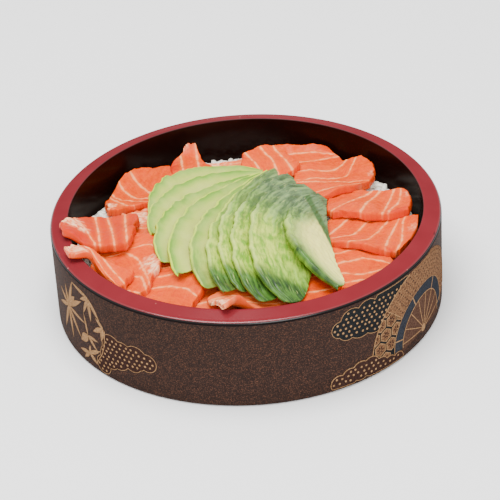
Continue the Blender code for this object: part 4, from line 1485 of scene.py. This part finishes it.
# %% Mound
RICE_RADIUS = 83.6
RICE_WALL_HEIGHT = 32.0
RICE_LEAN = (0.5, -5.0)
RICE_SWELL = 12.0
RICE_BUMP = 0.5
RICE_WAVES = (5.1, 6.3, 8.7)
CORE_BELOW = 0.4
CORE_STEPS, CORE_RINGS = 160, 60
GAP = 0.3


def rice_height(x, y):
    """Height of the mound: its height at the wall, a swell in the middle and low bumps from
    the product of two crossed waves and a slanting one."""
    wall = RICE_WALL_HEIGHT + (RICE_LEAN[0] * x + RICE_LEAN[1] * y) / RICE_RADIUS
    swell = RICE_SWELL * (1 - (x * x + y * y) / RICE_RADIUS ** 2)
    short, middle, long = RICE_WAVES
    bumps = RICE_BUMP * (np.sin(x / short) * np.cos(y / middle) + np.sin((x + y) / long))
    return wall + swell + bumps


def mound():
    """The core: a turned shape whose upper points follow the mound's height, and a flat
    bottom just above the tub's floor."""
    bottom = FLOOR_HEIGHT + GAP
    under = [(0.3, bottom), (FLOOR_RADIUS - FLOOR_FILLET - GAP, bottom),
             (RICE_RADIUS, bottom + FLOOR_FILLET)]
    rings = RICE_RADIUS * np.linspace(1, 0.004, CORE_RINGS)
    grid = turned_grid(np.vstack([under, np.column_stack([rings, 0 * rings])]), CORE_STEPS)
    above = grid[:, len(under):]
    above[..., 2] = rice_height(above[..., 0], above[..., 1]) - CORE_BELOW
    return spun_skin(grid, [[0, 0, bottom], [0, 0, float(rice_height(0.0, 0.0)) - CORE_BELOW]])


print("the mound's middle is", round(float(rice_height(0.0, 0.0)), 1), "mm high")

# %% [markdown]
# Cooked grains are short and blunt, and a little bowed. All of them share one shape of a few
# dozen faces, which arrays scale, tip, turn and move to each grain's place.

# %% Shape of a grain
GRAIN_SIZE = (6.3, 2.8, 2.5)
GRAIN_RINGS, GRAIN_SIDES = 6, 8
GRAIN_BOW = 0.25


def grain_shape():
    """One grain, 1 long, 1 wide and 1 high: rings round its length whose radius follows the
    root of a circle, so that the ends are blunt."""
    place = np.linspace(-1, 1, GRAIN_RINGS + 1)[1:-1] * 0.93
    radius = 0.5 * (1 - place ** 2) ** 0.42
    angles = np.arange(GRAIN_SIDES) * math.tau / GRAIN_SIDES
    y, z = np.outer(np.cos(angles), radius), np.outer(np.sin(angles), radius)
    grid = np.stack([np.broadcast_to(0.5 * place, y.shape), y, z], axis=-1)
    points, faces = spun_skin(grid, [[-0.5, 0, 0], [0.5, 0, 0]])
    return points, facing_out(points, faces)


print("triangles of one grain:", len(grain_shape()[1]))

# %% Places of the grains
GRAIN_SPOTS = 2130
GRAIN_INSET, GRAIN_WALL = 2.4, 2.0
GRAIN_SHIFT, GRAIN_TIP = 1.3, 0.4
GRAIN_SCALES, GRAIN_LIFTS = (0.86, 1.08), (-0.7, 0.5)
GRAIN_RAISE = 0.5
GRAIN_ROOM, GRAIN_DEEPEST = 1.9, 1.4
OPEN_ROOM = 5.5
SECOND_GRAIN = (1.1, -0.7, 2.1)
AROUND = ((0, 0), (2, 0), (-2, 0), (0, 2), (0, -2))
LOOK_FROM_BELOW = 6


def room_above(x, y, z):
    """The height of the lowest slice over a place, or infinity under the open sky."""
    start = Vector((x, y, z - LOOK_FROM_BELOW)) * MM
    hits = [tree.ray_cast(start, Vector((0, 0, 1))) for tree in covers]
    heights = [hit[0].z / MM for hit in hits if hit[0] is not None]
    return min(heights) if heights else math.inf


covers = []
for name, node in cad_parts.items():
    if name not in ("tub", "rice"):
        corners = [v.co.copy() for v in node.data.vertices]
        covers.append(BVHTree.FromPolygons(corners, [list(f.vertices) for f in node.data.polygons]))


def grain_places():
    """Where the grains lie: a spiral of spots over the mound, each moved, turned and tipped
    by a seeded draw. Under a slice a grain lies deep enough to stay clear of it, and in the
    open a second one lies across it."""
    draw = np.random.default_rng(11)
    golden = math.pi * (3 - math.sqrt(5))
    spots = []
    for k in range(GRAIN_SPOTS):
        radius = (RICE_RADIUS - GRAIN_INSET) * math.sqrt((k + 0.5) / GRAIN_SPOTS)
        shift = draw.uniform(-GRAIN_SHIFT, GRAIN_SHIFT, 2)
        turns = draw.uniform(0, math.tau, 2)
        tips = draw.uniform(-GRAIN_TIP, GRAIN_TIP, 2)
        scale, lift = draw.uniform(*GRAIN_SCALES), draw.uniform(*GRAIN_LIFTS)
        x, y = radius * math.cos(k * golden) + shift[0], radius * math.sin(k * golden) + shift[1]
        x, y = kept_within(x, y, RICE_RADIUS - GRAIN_WALL)
        height = float(rice_height(x, y)) + lift
        room = min(room_above(x + dx, y + dy, height) for dx, dy in AROUND)
        level = min(height + GRAIN_RAISE, room - GRAIN_ROOM)
        if level < height - GRAIN_DEEPEST:
            continue
        spots.append((x, y, level, turns[0], tips[0], scale))
        if room - height > OPEN_ROOM:
            dx, dy, dz = SECOND_GRAIN
            spots.append((x + dx, y + dy, height + dz, turns[1], tips[1], scale))
    return np.array(spots)


def grains(spots):
    """All the grains as one set of points: the one shape, scaled, tipped, turned and moved
    to each spot by arrays."""
    shape, faces = grain_shape()
    local = shape[None] * np.array(GRAIN_SIZE) * spots[:, 5, None, None]
    bow = GRAIN_BOW * (local[..., 0] / GRAIN_SIZE[0]) ** 2 * GRAIN_SIZE[1]
    x, y, z = local[..., 0], local[..., 1] + bow, local[..., 2]
    tip, turn = spots[:, 4, None], spots[:, 3, None]
    x, z = x * np.cos(tip) + z * np.sin(tip), z * np.cos(tip) - x * np.sin(tip)
    x, y = x * np.cos(turn) - y * np.sin(turn), x * np.sin(turn) + y * np.cos(turn)
    points = np.stack([x, y, z], axis=-1) + spots[:, None, :3]
    starts = np.arange(len(spots)) * len(shape)
    return points.reshape(-1, 3), (faces[None] + starts[:, None, None]).reshape(-1, 3)


print("slices over the rice:", len(covers))

# %% [markdown]
# Cooked rice is moist and lets some light in, so its white is soft, with light spread under
# the surface, and its gloss is weak.

# %% Rice finish
def rice_look():
    """Moist white grains, cloudy between two whites."""
    look = Look("cooked_rice", coat_weight=0.15, coat_roughness=0.25, subsurface_weight=0.15,
                subsurface_scale=0.003, subsurface_radius=(1.0, 0.9, 0.7))
    place = look.place()
    cloudy = look.noise(place, 300.0, detail=2.0)
    colour = look.mix(cloudy, (226, 219, 200), (246, 243, 232))
    look.finish(base_color=colour, roughness=cloudy * 0.15 + 0.33,
                normal=look.bump(look.noise(place, 1500.0), 0.0001, 0.3))
    return look


rice = rice_look()
grain_spots = grain_places()
rice_points, rice_faces = joined([mound(), grains(grain_spots)])
rice_piece = put_mesh("rice_grains", rice_points, rice_faces, rice)
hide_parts("rice")
print("grains:", len(grain_spots), "triangles:", len(rice_faces))
